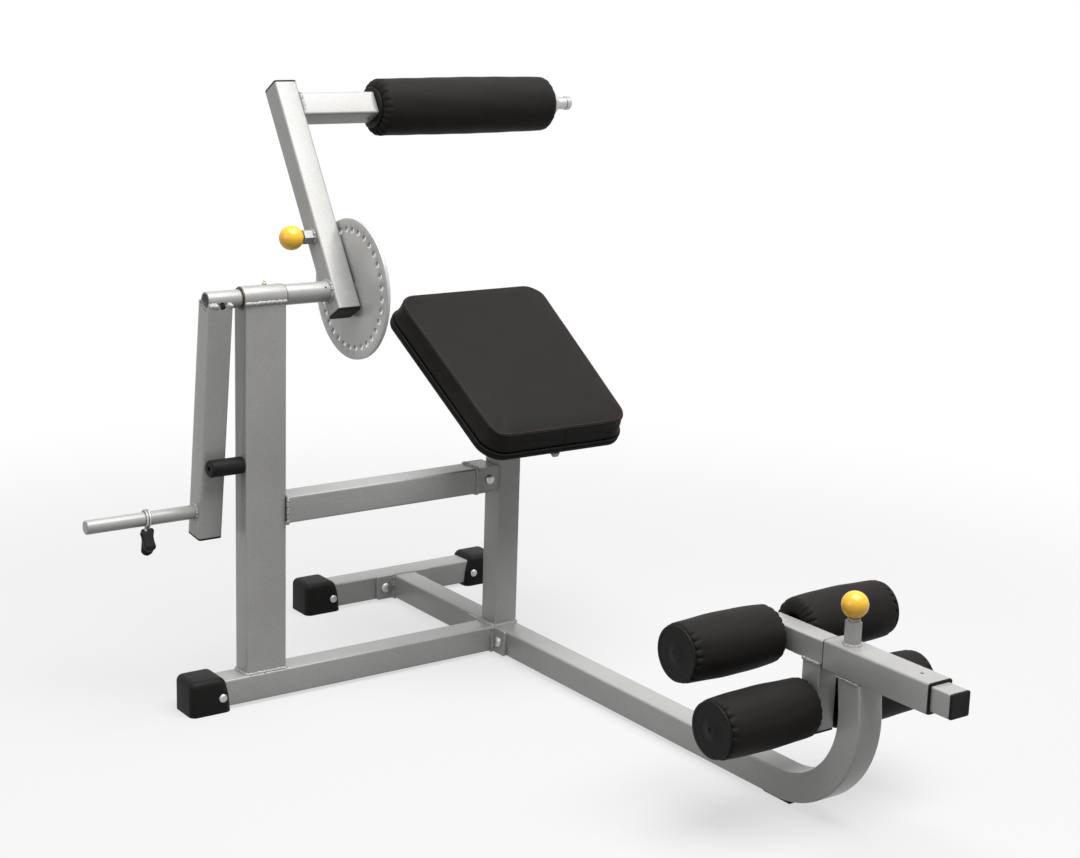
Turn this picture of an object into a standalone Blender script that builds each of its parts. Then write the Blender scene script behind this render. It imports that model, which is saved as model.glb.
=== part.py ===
"""An ab and back machine with a weight lever, a pinned arm and a sliding foot carriage.

Metres, +Z up. The machine is laid out with X = 0 on the seat's centre line, Y = 0 on the
base tube's centre line (+Y to the rear) and Z = 0 on the floor. An empty then moves all of
it, so that the world's origin is the bottom centre of the whole machine.
"""

import math

import bmesh
import bpy
from mathutils import Matrix, Vector

# Clearances and mesh detail
GAP = 0.0003
MERGE = 0.00001
CORNER_STEPS = 2
ROUND_STEPS = 20
SMALL_STEPS = 10
CORE_STEPS = 24
KNOB_STEPS = 16
DISC_STEPS = 60
HOLE_STEPS = 8
COIL_STEPS = 18
SMOOTH_ANGLE = math.radians(35)

# Frame tubes
TUBE = 0.050
TUBE_WALL = 0.0025
TUBE_CORNER = 0.004
FLOOR_CLEARANCE = 0.006
BASE_REACH = 0.676
FLANGE_THICKNESS = 0.006
FLANGE_WIDTH = 0.130
FLANGE_BOLT_SPACING = 0.092
LONG_TUBE_REAR = 0.353
STABILIZER_LENGTH = 0.460

# Bent front leg
BEND_START = 0.838
BEND_RADIUS = 0.155
BEND_ANGLE = math.radians(95.5)
BEND_STEPS = 10

# Main upright and brace
UPRIGHT_X = -0.524
UPRIGHT_WIDTH = 0.080
UPRIGHT_DEPTH = 0.045
UPRIGHT_Y = 0.0025
BRACE_HEIGHT = 0.3556
BRACKET_LENGTH = 0.054
BRACKET_FRONT = -0.025

# Through bolts
BOLT = 0.010
BOLT_HEAD = 0.021
BOLT_DOME = 0.0065
NUT_FLATS = 0.017
NUT_HEIGHT = 0.009

# Pivot
PIVOT_HEIGHT = 0.742
SHAFT = 0.025
SHAFT_RECESS = 0.010
SLEEVE_OUTER = 0.042
SLEEVE_BORE = 0.031
BUSH_LENGTH = 0.028
BUSH_FLANGE = 0.0397
BUSH_FLANGE_THICKNESS = 0.0016
GREASE_HOLE = 0.009
HUB_PIN_HOLE = 0.004
HUB_PIN_PLACE = 0.012
WEIGHT_HUB = 0.032
WEIGHT_HUB_LENGTH = 0.064
ARM_HUB = 0.037
ARM_HUB_LENGTH = 0.0888

# Weight lever
ARM_TUBE = 0.045
ARM_CORNER = 0.004
WEIGHT_ARM_LENGTH = 0.437
WEIGHT_ARM_ANGLE = math.radians(6.7)
WEIGHT_ARM_TOP = 0.005
WEIGHT_ARM_OVERHANG = 0.002
PLUG_LIP = 0.004
PLUG_DEPTH = 0.012
HORN = 0.025
HORN_DROP = 0.388
HORN_LENGTH = 0.2055
BUMPER = 0.031
BUMPER_LENGTH = 0.064
BUMPER_HEIGHT = 0.445

# Spring collar
COLLAR_PLACE = 0.092
COLLAR_WIRE = 0.004
COLLAR_COIL_GAP = 0.0006
COLLAR_TURNS = 2
COLLAR_LEG = 0.020
COLLAR_GRIP_WIDTH = 0.017
COLLAR_GRIP_DEPTH = 0.009
COLLAR_GRIP_START = 0.007
COLLAR_OPEN_ANGLE = math.radians(20)
COLLAR_FRONT_SPLAY = math.radians(-25)
COLLAR_FRONT_GRIP = 0.033
COLLAR_REAR_SPLAY = math.radians(2)
COLLAR_REAR_GRIP = 0.047

# Hole disc
DISC_RADIUS = 0.127
DISC_THICKNESS = 0.006
DISC_ARM_CLEARANCE = 0.003
DISC_BOSS = 0.050
DISC_BOSS_LENGTH = 0.014
HOLE_COUNT = 32
HOLE_CIRCLE = 0.1065
HOLE = 0.0115

# Upper arm
ARM_LEAN = math.radians(32.2)
ARM_ABOVE = 0.409
ARM_BELOW = 0.046
CROSS_REACH = 0.3605
CROSS_LENGTH = 0.155
CHEST_BAR = 0.027
CHEST_BAR_END = 0.270
CHEST_BAR_COLLAR = 0.040
CHEST_BAR_COLLAR_LENGTH = 0.008
CHEST_BAR_INSET = 0.060
DRAIN_HOLE = 0.006
DRAIN_HOLE_PLACE = 0.012
SLEEVE_HOLE_PLACE = 0.0365
END_PLATE = 0.004

# Pull pins
PIN = 0.010
PIN_BARREL_FLATS = 0.0242
ARM_PIN_BARREL_LENGTH = 0.021
CARRIAGE_PIN_BARREL_LENGTH = 0.044
ARM_KNOB = 0.044
CARRIAGE_KNOB = 0.046
KNOB_SOCKET = 0.014
KNOB_FLAT = 0.34
PIN_CHAMFER = 0.0015

# Rollers
CHEST_ROLLER = 0.109
CHEST_ROLLER_LENGTH = 0.405
CHEST_ROLLER_DISC = 0.076
FOOT_ROLLER = 0.100
FOOT_ROLLER_LENGTH = 0.200
FOOT_ROLLER_DISC = 0.092
FOOT_ROLLER_SPACE = 0.0035
DISC_WALL = 0.004
CORE_WALL = 0.0035
FOAM_SHOULDER = 0.020
FOAM_SHOULDER_DROP = 0.009
FOAM_CROWN = 0.0012
GATHERS = 14
GATHER_DEPTH = 0.0016
GATHER_LENGTH = 0.016

# Seat
SEAT_POST_Y = 0.0
PAD_WIDTH = 0.324
PAD_LENGTH = 0.397
PAD_TAPER = 0.034
PAD_THICKNESS = 0.050
PAD_CORNER = 0.040
PAD_TILT = math.radians(32.0)
PAD_Y = -0.0344
PAD_Z = 0.5956
PAD_CROWN = 0.004
PAD_FLARE = 0.005
PAD_DRAW = 0.0022
PIPING = 0.002
BOARD_THICKNESS = 0.011
BOARD_FLARE = 0.0065
SUPPORT_THICKNESS = 0.005
SUPPORT_WIDTH = 0.120
SUPPORT_LENGTH = 0.200
SUPPORT_BAR = (0.014, 0.009)

# Foot carriage
CARRIAGE_TUBE = 0.040
CARRIAGE_CORNER = 0.003
CARRIAGE_SLEEVE_LENGTH = 0.2225
CARRIAGE_SLEEVE_REAR = -0.928
CARRIAGE_HEIGHT = 0.280
LINER_LENGTH = 0.028
LINER_LIP = 0.002
CARRIAGE_PIN_Y = -0.965
CARRIAGE_HOLE_STEP = 0.040
CARRIAGE_HOLES = 5
INNER_REAR = -0.780
INNER_FRONT = -1.190
UPPER_BAR_Y = -0.805
DROP_TUBE_Y = -0.897
DROP_TUBE_BOTTOM = 0.141
LOWER_BAR_Z = 0.184
FOOT_BAR = 0.025

# Foot caps and bend pad
CAP_LENGTH = 0.080
CAP_TOP_LENGTH = 0.068
CAP_SIDE_WALL = 0.010
CAP_TOP_WALL = 0.010
CAP_END_WALL = 0.005
CAP_ROUND = 0.006
BEND_PAD_START = 0.800
BEND_PAD_END = 0.864
BEND_PAD_WIDTH = 0.030

# Places worked out from the sizes above
TUBE_Z = FLOOR_CLEARANCE + TUBE / 2
TUBE_TOP = FLOOR_CLEARANCE + TUBE
UPRIGHT_LEFT = UPRIGHT_X - UPRIGHT_WIDTH / 2
UPRIGHT_RIGHT = UPRIGHT_X + UPRIGHT_WIDTH / 2
SLEEVE_LENGTH = UPRIGHT_WIDTH + 0.002
SLEEVE_LEFT = UPRIGHT_X - SLEEVE_LENGTH / 2
SLEEVE_RIGHT = UPRIGHT_X + SLEEVE_LENGTH / 2
HUB_SPACE = BUSH_FLANGE_THICKNESS + 2 * GAP
WEIGHT_HUB_RIGHT = SLEEVE_LEFT - HUB_SPACE
WEIGHT_HUB_LEFT = WEIGHT_HUB_RIGHT - WEIGHT_HUB_LENGTH
WEIGHT_ARM_X = WEIGHT_HUB_LEFT - WEIGHT_ARM_OVERHANG + ARM_TUBE / 2
ARM_HUB_LEFT = SLEEVE_RIGHT + HUB_SPACE
ARM_LEFT = ARM_HUB_LEFT + ARM_HUB_LENGTH + GAP
ARM_X = ARM_LEFT + ARM_TUBE / 2
ARM_RIGHT = ARM_LEFT + ARM_TUBE
DISC_LEFT = ARM_RIGHT + DISC_ARM_CLEARANCE
DISC_RIGHT = DISC_LEFT + DISC_THICKNESS
CROSS_LEFT = ARM_RIGHT + GAP
CROSS_RIGHT = CROSS_LEFT + CROSS_LENGTH
CHEST_LEFT = CROSS_RIGHT + GAP
CHEST_RIGHT = CHEST_LEFT + CHEST_ROLLER_LENGTH
HORN_RIGHT = WEIGHT_ARM_X - ARM_TUBE / 2 - GAP
HORN_LEFT = HORN_RIGHT - HORN_LENGTH
CARRIAGE_FRONT = INNER_FRONT - GAP - PLUG_LIP
STABILIZER_Y = LONG_TUBE_REAR + FLANGE_THICKNESS + GAP + TUBE / 2
STABILIZER_CAP_REAR = STABILIZER_Y + TUBE / 2 + GAP + CAP_SIDE_WALL
SLEEVE_BOTTOM = CARRIAGE_HEIGHT - TUBE / 2
SLEEVE_TOP = CARRIAGE_HEIGHT + TUBE / 2
PAD_STACK = PAD_THICKNESS + GAP + BOARD_THICKNESS + GAP + SUPPORT_THICKNESS
ORIGIN = Vector(
    ((HORN_LEFT + CHEST_BAR_END) / 2, (CARRIAGE_FRONT + STABILIZER_CAP_REAR) / 2, 0.0)
)

# Turns that lay a local Z along the machine's axes
ALONG_X = (0.0, math.pi / 2, 0.0)
ALONG_Y = (-math.pi / 2, 0.0, 0.0)
UPRIGHT = (0.0, 0.0, 0.0)

# Finishes: base colour, roughness, metallic
SILVER_PAINT = ((0.36, 0.36, 0.355), 0.42, 0.45)
BARE_STEEL = ((0.62, 0.62, 0.61), 0.28, 1.0)
BRONZE = ((0.42, 0.31, 0.17), 0.40, 1.0)
BLACK_RUBBER = ((0.018, 0.018, 0.018), 0.62, 0.0)
BLACK_PLASTIC = ((0.022, 0.022, 0.022), 0.45, 0.0)
BLACK_VINYL = ((0.020, 0.019, 0.018), 0.50, 0.0)
YELLOW_PLASTIC = ((0.86, 0.50, 0.05), 0.30, 0.0)


def clear_scene():
    """Remove every object, so that the model starts from an empty scene."""
    for obj in list(bpy.data.objects):
        bpy.data.objects.remove(obj)


def new_collection(name):
    """A collection linked to the scene."""
    collection = bpy.data.collections.new(name)
    bpy.context.scene.collection.children.link(collection)
    return collection


clear_scene()
PARTS = new_collection("ab_back_machine")
CUTTERS = new_collection("cutters")
CUTTERS.hide_render = True


# Building blocks

def material(name, finish):
    """A Principled material with the finish's colour, roughness and metallic value."""
    colour, roughness, metallic = finish
    made = bpy.data.materials.new(name)
    made.use_nodes = True
    shader = made.node_tree.nodes["Principled BSDF"]
    shader.inputs["Base Color"].default_value = (*colour, 1.0)
    shader.inputs["Roughness"].default_value = roughness
    shader.inputs["Metallic"].default_value = metallic
    made.diffuse_color = (*colour, 1.0)
    return made


def empty(name, parent, at, turn=UPRIGHT):
    """An empty that carries the pieces of one joint's body."""
    holder = bpy.data.objects.new(name, None)
    holder.empty_display_size = 0.05
    PARTS.objects.link(holder)
    holder.parent = parent
    holder.location = at
    holder.rotation_euler = turn
    return holder


def piece(name, mesh, finish, parent, at=(0, 0, 0), turn=UPRIGHT):
    """One named sub-part in the machine's collection."""
    obj = bpy.data.objects.new(name, mesh)
    PARTS.objects.link(obj)
    if not mesh.materials:
        mesh.shade_smooth()
        mesh.set_sharp_from_angle(angle=SMOOTH_ANGLE)
        mesh.materials.append(material(name + "_finish", finish))
    obj.parent = parent
    obj.location = at
    obj.rotation_euler = turn
    return obj


def reshape(obj, operation, mesh, at, turn=UPRIGHT):
    """Cut a mesh from a piece, or join it on, with a Boolean that stays live."""
    tool = bpy.data.objects.new(f"{obj.name}_{operation.lower()}", mesh)
    CUTTERS.objects.link(tool)
    tool.hide_render = True
    tool.display_type = "WIRE"
    tool.parent = obj.parent
    tool.location = at
    tool.rotation_euler = turn
    modifier = obj.modifiers.new(operation.title(), "BOOLEAN")
    modifier.operation = operation
    modifier.solver = "EXACT"
    modifier.object = tool


def cut(obj, mesh, at, turn=UPRIGHT):
    """Cut a mesh away from a piece."""
    reshape(obj, "DIFFERENCE", mesh, at, turn)


def fuse(obj, mesh, at, turn=UPRIGHT):
    """Weld a mesh to a piece, as one body."""
    reshape(obj, "UNION", mesh, at, turn)


def evaluated_mesh(obj):
    """The object's mesh with its modifiers applied and its loose ends welded. The object goes."""
    bpy.context.scene.collection.objects.link(obj)
    bpy.context.view_layer.update()
    graph = bpy.context.evaluated_depsgraph_get()
    mesh = bpy.data.meshes.new_from_object(obj.evaluated_get(graph))
    bpy.data.objects.remove(obj)
    work = bmesh.new()
    work.from_mesh(mesh)
    bmesh.ops.remove_doubles(work, verts=work.verts, dist=MERGE)
    bmesh.ops.recalc_face_normals(work, faces=work.faces)
    work.to_mesh(mesh)
    work.free()
    return mesh


def poly_spline(curve, points, cyclic):
    """Add a poly spline through 2D or 3D points."""
    spline = curve.splines.new("POLY")
    spline.points.add(len(points) - 1)
    for knot, point in zip(spline.points, points):
        knot.co = (*point, *(0.0,) * (3 - len(point)), 1.0)
    spline.use_cyclic_u = cyclic


def outline_mesh(loops, thickness):
    """A flat outline with any holes, as a filled 2D curve extruded along Z."""
    curve = bpy.data.curves.new("outline", "CURVE")
    curve.dimensions = "2D"
    curve.fill_mode = "BOTH"
    curve.extrude = thickness / 2
    for loop in loops:
        poly_spline(curve, loop, True)
    return evaluated_mesh(bpy.data.objects.new("outline", curve))


def swept_mesh(path, section):
    """A closed section swept along a flat path in the XY plane, with filled ends."""
    outline = bpy.data.curves.new("section", "CURVE")
    poly_spline(outline, section, True)
    guide = bpy.data.objects.new("section", outline)
    bpy.context.scene.collection.objects.link(guide)
    curve = bpy.data.curves.new("path", "CURVE")
    curve.dimensions = "2D"
    curve.bevel_mode = "OBJECT"
    curve.bevel_object = guide
    curve.use_fill_caps = True
    poly_spline(curve, path, False)
    mesh = evaluated_mesh(bpy.data.objects.new("path", curve))
    bpy.data.objects.remove(guide)
    return mesh


def wire_mesh(points, diameter, sides_level=1):
    """A round wire along a list of 3D points, with filled ends."""
    curve = bpy.data.curves.new("wire", "CURVE")
    curve.dimensions = "3D"
    curve.bevel_depth = diameter / 2
    curve.bevel_resolution = sides_level
    curve.use_fill_caps = True
    poly_spline(curve, points, False)
    return evaluated_mesh(bpy.data.objects.new("wire", curve))


def turned_mesh(profile, steps=ROUND_STEPS, closed=False):
    """A solid turned about Z. The (radius, height) profile runs down its outer side."""
    mesh = bpy.data.meshes.new("turned")
    count = len(profile)
    edges = [(index, index + 1) for index in range(count - 1)]
    if closed:
        edges.append((count - 1, 0))
    mesh.from_pydata([(radius, 0.0, height) for radius, height in profile], edges, [])
    obj = bpy.data.objects.new("turned", mesh)
    screw = obj.modifiers.new("Screw", "SCREW")
    screw.steps = steps
    screw.render_steps = steps
    screw.use_merge_vertices = True
    screw.merge_threshold = MERGE
    return evaluated_mesh(obj)


def rod_mesh(diameter, length, chamfer=0.0, steps=ROUND_STEPS):
    """A round bar centred on Z, with chamfered ends."""
    radius = diameter / 2
    half = length / 2
    profile = [(0.0, half), (radius - chamfer, half)]
    if chamfer:
        profile += [(radius, half - chamfer), (radius, chamfer - half)]
    profile += [(radius - chamfer, -half), (0.0, -half)]
    return turned_mesh(profile, steps)


def ring_mesh(outer, bore, length, steps=ROUND_STEPS, chamfer=0.0008):
    """A round collar with a bore, centred on Z, with its outer edges broken."""
    half = length / 2
    profile = [
        (bore / 2, half),
        (outer / 2 - chamfer, half),
        (outer / 2, half - chamfer),
        (outer / 2, chamfer - half),
        (outer / 2 - chamfer, -half),
        (bore / 2, -half),
    ]
    return turned_mesh(profile, steps, closed=True)


def box_mesh(size, bevel=0.0, segments=2):
    """A box centred on the origin, with rounded edges where a bevel is given."""
    work = bmesh.new()
    bmesh.ops.create_cube(work, size=1.0)
    bmesh.ops.scale(work, vec=size, verts=work.verts)
    if bevel:
        bmesh.ops.bevel(work, geom=work.edges[:], offset=bevel, segments=segments,
                        profile=0.5, affect="EDGES")
    mesh = bpy.data.meshes.new("box")
    work.to_mesh(mesh)
    work.free()
    return mesh


def hex_mesh(flats, length):
    """A hexagonal prism centred on Z, with a flat facing X."""
    work = bmesh.new()
    radius = flats / math.sqrt(3)
    bmesh.ops.create_cone(work, cap_ends=True, segments=6, radius1=radius, radius2=radius,
                          depth=length)
    mesh = bpy.data.meshes.new("hexagon")
    work.to_mesh(mesh)
    work.free()
    return mesh


def circle(diameter, steps, centre=(0.0, 0.0)):
    """Points round a circle."""
    angles = [2 * math.pi * step / steps for step in range(steps)]
    return [
        (centre[0] + diameter / 2 * math.cos(a), centre[1] + diameter / 2 * math.sin(a))
        for a in angles
    ]


def rounded_rectangle(width, depth, radius, steps=CORNER_STEPS, side_points=0):
    """Points anticlockwise round a rectangle with arc corners and points along its sides."""
    points = []
    signs = ((1, 1), (-1, 1), (-1, -1), (1, -1))
    for index, (side_x, side_y) in enumerate(signs):
        for step in range(steps + 1):
            angle = math.pi / 2 * (index + step / steps)
            x = side_x * (width / 2 - radius) + radius * math.cos(angle)
            y = side_y * (depth / 2 - radius) + radius * math.sin(angle)
            points.append(Vector((x, y)))
        after = signs[(index + 1) % 4]
        angle = math.pi / 2 * (index + 1)
        nxt = Vector((after[0] * (width / 2 - radius) + radius * math.cos(angle),
                      after[1] * (depth / 2 - radius) + radius * math.sin(angle)))
        for share in range(side_points):
            points.append(points[-1 - share].lerp(nxt, (share + 1) / (side_points + 1)))
    return [tuple(point) for point in points]


def tube_mesh(width, depth, length, corner=TUBE_CORNER, wall=TUBE_WALL):
    """A hollow rectangular tube along Z: width along X, depth along Y."""
    outer = rounded_rectangle(width, depth, corner)
    inner = rounded_rectangle(width - 2 * wall, depth - 2 * wall, max(corner - wall, 0.001), 1)
    return outline_mesh([outer, inner], length)


def plate_mesh(width, depth, thickness, corner=TUBE_CORNER):
    """A flat plate with rounded corners, centred on the origin."""
    return outline_mesh([rounded_rectangle(width, depth, corner)], thickness)


def plug_mesh(width, wall, lip=PLUG_LIP, spigot=PLUG_DEPTH, corner=TUBE_CORNER):
    """A square tube plug: its lip from Z = 0 up, its spigot below, with rounded top edges."""
    inner = width - 2 * wall - 2 * GAP
    levels = [(inner, -spigot), (inner, 0.0), (width, 0.0), (width, lip - 0.001),
              (width - 0.002, lip)]
    rings = [(rounded_rectangle(size, size, corner), height) for size, height in levels]
    return lofted_mesh(rings)


def lofted_mesh(rings):
    """A closed skin through rings of equal point counts, each at its own height."""
    work = bmesh.new()
    rows = [[work.verts.new((*point, height)) for point in loop] for loop, height in rings]
    for lower, upper in zip(rows, rows[1:]):
        for index in range(len(lower)):
            after = (index + 1) % len(lower)
            work.faces.new((lower[index], lower[after], upper[after], upper[index]))
    work.faces.new(rows[0][::-1])
    work.faces.new(rows[-1])
    bmesh.ops.recalc_face_normals(work, faces=work.faces)
    mesh = bpy.data.meshes.new("loft")
    work.to_mesh(mesh)
    work.free()
    return mesh


def joined_mesh(base, added, at):
    """Two meshes welded into one body, the second moved to the given point."""
    tool = bpy.data.objects.new("added", added)
    tool.location = at
    bpy.context.scene.collection.objects.link(tool)
    obj = bpy.data.objects.new("base", base)
    modifier = obj.modifiers.new("Union", "BOOLEAN")
    modifier.operation = "UNION"
    modifier.solver = "EXACT"
    modifier.object = tool
    mesh = evaluated_mesh(obj)
    bpy.data.objects.remove(tool)
    return mesh


def through_bolt_mesh(grip):
    """A dome-head bolt along Z with its nut. The head sits on Z = 0 and the shank goes down."""
    radius = BOLT_HEAD / 2
    end = -grip - NUT_HEIGHT - 0.003
    profile = [
        (radius * math.sin(angle), 0.001 + BOLT_DOME * math.cos(angle))
        for angle in (math.pi / 2 * step / 4 for step in range(5))
    ]
    profile += [(radius, 0.0), (BOLT / 2, 0.0), (BOLT / 2, end), (0.0, end)]
    nut = hex_mesh(NUT_FLATS, NUT_HEIGHT)
    return joined_mesh(turned_mesh(profile, SMALL_STEPS), nut, (0, 0, -grip - NUT_HEIGHT / 2))


def knob_mesh(diameter, rod):
    """A ball knob centred on the origin, with a flat and a socket at its lower end."""
    radius = diameter / 2
    flat = math.asin(KNOB_FLAT)
    steps = KNOB_STEPS // 2
    profile = [
        (radius * math.sin(angle), radius * math.cos(angle))
        for angle in ((math.pi - flat) * step / steps for step in range(steps + 1))
    ]
    bottom = -radius * math.cos(flat)
    bore = rod / 2 + GAP
    profile += [(bore, bottom), (bore, bottom + KNOB_SOCKET), (0.0, bottom + KNOB_SOCKET)]
    return turned_mesh(profile, KNOB_STEPS)


# Base and frame

def base_tube(root):
    """The cross tube on the left, with its bolted flange plate and its two through bolts."""
    right = -TUBE / 2 - GAP - FLANGE_THICKNESS
    end = right + FLANGE_THICKNESS / 2
    tube = piece("base_tube", tube_mesh(TUBE, TUBE, end + BASE_REACH), SILVER_PAINT, root,
                 ((end - BASE_REACH) / 2, 0, TUBE_Z), ALONG_X)
    fuse(tube, plate_mesh(TUBE, FLANGE_WIDTH, FLANGE_THICKNESS),
         (right + FLANGE_THICKNESS / 2, 0, TUBE_Z), ALONG_X)
    bolt_mesh = through_bolt_mesh(FLANGE_THICKNESS + TUBE + 3 * GAP)
    for side, place in ((-1, "front"), (1, "rear")):
        y = side * FLANGE_BOLT_SPACING / 2
        cut(tube, rod_mesh(BOLT + 2 * GAP, 3 * FLANGE_THICKNESS, 0, SMALL_STEPS),
            (right, y, TUBE_Z), ALONG_X)
        piece(f"base_bolt_{place}", bolt_mesh, BARE_STEEL, root,
              (right - GAP, y, TUBE_Z), (0, -math.pi / 2, 0))


def rear_stabilizer(root):
    """The cross tube at the rear, which the long tube's flange is bolted to."""
    tube = piece("rear_stabilizer", tube_mesh(TUBE, TUBE, STABILIZER_LENGTH), SILVER_PAINT,
                 root, (0, STABILIZER_Y, TUBE_Z), ALONG_X)
    bolt_mesh = through_bolt_mesh(FLANGE_THICKNESS + TUBE + 3 * GAP)
    for side, place in ((-1, "left"), (1, "right")):
        x = side * FLANGE_BOLT_SPACING / 2
        cut(tube, rod_mesh(BOLT + 2 * GAP, 2 * TUBE, 0, SMALL_STEPS),
            (x, STABILIZER_Y, TUBE_Z), ALONG_Y)
        piece(f"rear_bolt_{place}", bolt_mesh, BARE_STEEL, root,
              (x, LONG_TUBE_REAR - GAP, TUBE_Z), (math.pi / 2, 0, 0))


def leg_path(margin):
    """The long tube's centre line as (Y, Z) points: straight, the bend, then straight up."""
    centre = (-BEND_START, TUBE_Z + BEND_RADIUS)
    path = [(LONG_TUBE_REAR + margin, TUBE_Z)]
    for step in range(BEND_STEPS + 1):
        angle = BEND_ANGLE * step / BEND_STEPS
        path.append((centre[0] - BEND_RADIUS * math.sin(angle),
                     centre[1] - BEND_RADIUS * math.cos(angle)))
    rise = SLEEVE_BOTTOM + TUBE + margin - path[-1][1]
    run = rise / math.tan(BEND_ANGLE)
    path.append((path[-1][0] - run, path[-1][1] + rise))
    return path


def long_tube(root):
    """The tube from the rear flange to the bend, which rises to the carriage sleeve."""
    lay = Matrix(((0, 0, 1), (1, 0, 0), (0, 1, 0))).to_euler()
    outside = rounded_rectangle(TUBE, TUBE, TUBE_CORNER)
    tube = piece("long_tube", swept_mesh(leg_path(FLANGE_THICKNESS / 2), outside), SILVER_PAINT,
                 root, (0, 0, 0), lay)
    inside = TUBE - 2 * TUBE_WALL
    hollow = swept_mesh(leg_path(0), rounded_rectangle(inside, inside, TUBE_CORNER / 2, 1))
    fuse(tube, plate_mesh(FLANGE_WIDTH, TUBE, FLANGE_THICKNESS),
         (0, LONG_TUBE_REAR + FLANGE_THICKNESS / 2, TUBE_Z), ALONG_Y)
    cut(tube, hollow, (0, 0, 0), lay)
    top = 2 * TUBE
    cut(tube, box_mesh((2 * TUBE, 4 * TUBE, top)),
        (0, -BEND_START - BEND_RADIUS, SLEEVE_BOTTOM - GAP + top / 2))
    for side in (-1, 1):
        cut(tube, rod_mesh(BOLT + 2 * GAP, 2 * TUBE, 0, SMALL_STEPS),
            (0, side * FLANGE_BOLT_SPACING / 2, TUBE_Z), ALONG_X)
        cut(tube, rod_mesh(BOLT + 2 * GAP, 4 * FLANGE_THICKNESS, 0, SMALL_STEPS),
            (side * FLANGE_BOLT_SPACING / 2, LONG_TUBE_REAR, TUBE_Z), ALONG_Y)


def foot_cap(name, root, at, turn):
    """A moulded foot on a tube's end. Local X points out along the tube."""
    width = TUBE + 2 * GAP + 2 * CAP_SIDE_WALL
    height = FLOOR_CLEARANCE + TUBE + CAP_TOP_WALL
    slope = CAP_LENGTH - CAP_TOP_LENGTH
    side = [(0, 0), (CAP_LENGTH, 0), (CAP_LENGTH, height), (slope, height), (slope / 4, height / 2)]
    mesh = outline_mesh([[(x - CAP_LENGTH, z) for x, z in side]], width)
    work = bmesh.new()
    work.from_mesh(mesh)
    bmesh.ops.dissolve_limit(work, angle_limit=0.01, verts=work.verts, edges=work.edges)
    bmesh.ops.rotate(work, matrix=Matrix.Rotation(math.pi / 2, 3, "X"), verts=work.verts)
    upper = [edge for edge in work.edges if max(vert.co.z for vert in edge.verts) > height / 4]
    bmesh.ops.bevel(work, geom=upper, offset=CAP_ROUND, segments=2, profile=0.5, affect="EDGES")
    work.to_mesh(mesh)
    work.free()
    cap = piece(name, mesh, BLACK_RUBBER, root, at, turn)
    pocket = plate_mesh(TUBE + 2 * GAP, TUBE + 2 * GAP, 2 * CAP_LENGTH)
    turned = Matrix.Rotation(turn[2], 3, "Z")
    middle = Vector((-CAP_LENGTH - CAP_END_WALL, 0, TUBE_Z))
    lay = (turned @ Matrix.Rotation(math.pi / 2, 3, "Y")).to_euler()
    cut(cap, pocket, Vector(at) + turned @ middle, lay)


def foot_caps(root):
    """The foot on the base tube and the two on the rear stabilizer."""
    half = STABILIZER_LENGTH / 2 + GAP + CAP_END_WALL
    foot_cap("foot_front_left", root, (-BASE_REACH - GAP - CAP_END_WALL, 0, 0), (0, 0, math.pi))
    foot_cap("foot_rear_left", root, (-half, STABILIZER_Y, 0), (0, 0, math.pi))
    foot_cap("foot_rear_right", root, (half, STABILIZER_Y, 0), (0, 0, 0))


def bend_pad(root):
    """The rubber pad under the start of the bend, shaped to the tube above it."""
    reach = BEND_RADIUS + TUBE / 2 + GAP
    outline = [(-BEND_PAD_START, 0), (-BEND_PAD_START, FLOOR_CLEARANCE - GAP)]
    for step in range(5):
        y = BEND_START + (BEND_PAD_END - BEND_START) * step / 4
        drop = math.sqrt(reach**2 - (y - BEND_START) ** 2)
        outline.append((-y, TUBE_Z + BEND_RADIUS - drop))
    outline.append((-BEND_PAD_END, 0))
    lay = Matrix(((0, 0, 1), (1, 0, 0), (0, 1, 0))).to_euler()
    piece("bend_pad", outline_mesh([outline], BEND_PAD_WIDTH), BLACK_RUBBER, root, (0, 0, 0), lay)


def main_upright(root):
    """The rectangular upright, coped round the pivot sleeve."""
    bottom = TUBE_TOP + GAP
    height = PIVOT_HEIGHT - bottom
    upright = piece("main_upright", tube_mesh(UPRIGHT_WIDTH, UPRIGHT_DEPTH, height), SILVER_PAINT,
                    root, (UPRIGHT_X, UPRIGHT_Y, bottom + height / 2))
    cut(upright, rod_mesh(SLEEVE_OUTER + 2 * GAP, 2 * UPRIGHT_WIDTH),
        (UPRIGHT_X, 0, PIVOT_HEIGHT), ALONG_X)


def pivot_sleeve(root):
    """The cross sleeve on the upright, with a flanged bush at each end."""
    at = (UPRIGHT_X, 0, PIVOT_HEIGHT)
    piece("pivot_sleeve", ring_mesh(SLEEVE_OUTER, SLEEVE_BORE, SLEEVE_LENGTH), SILVER_PAINT,
          root, at, ALONG_X)
    bore = SHAFT / 2 + GAP
    body = SLEEVE_BORE / 2 - GAP
    profile = [
        (bore, BUSH_FLANGE_THICKNESS), (BUSH_FLANGE / 2, BUSH_FLANGE_THICKNESS),
        (BUSH_FLANGE / 2, 0), (body, 0), (body, -BUSH_LENGTH), (bore, -BUSH_LENGTH),
    ]
    mesh = turned_mesh(profile, closed=True)
    piece("pivot_bush_left", mesh, BRONZE, root, (SLEEVE_LEFT - GAP, 0, PIVOT_HEIGHT),
          (0, -math.pi / 2, 0))
    piece("pivot_bush_right", mesh, BRONZE, root, (SLEEVE_RIGHT + GAP, 0, PIVOT_HEIGHT),
          ALONG_X)


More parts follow.
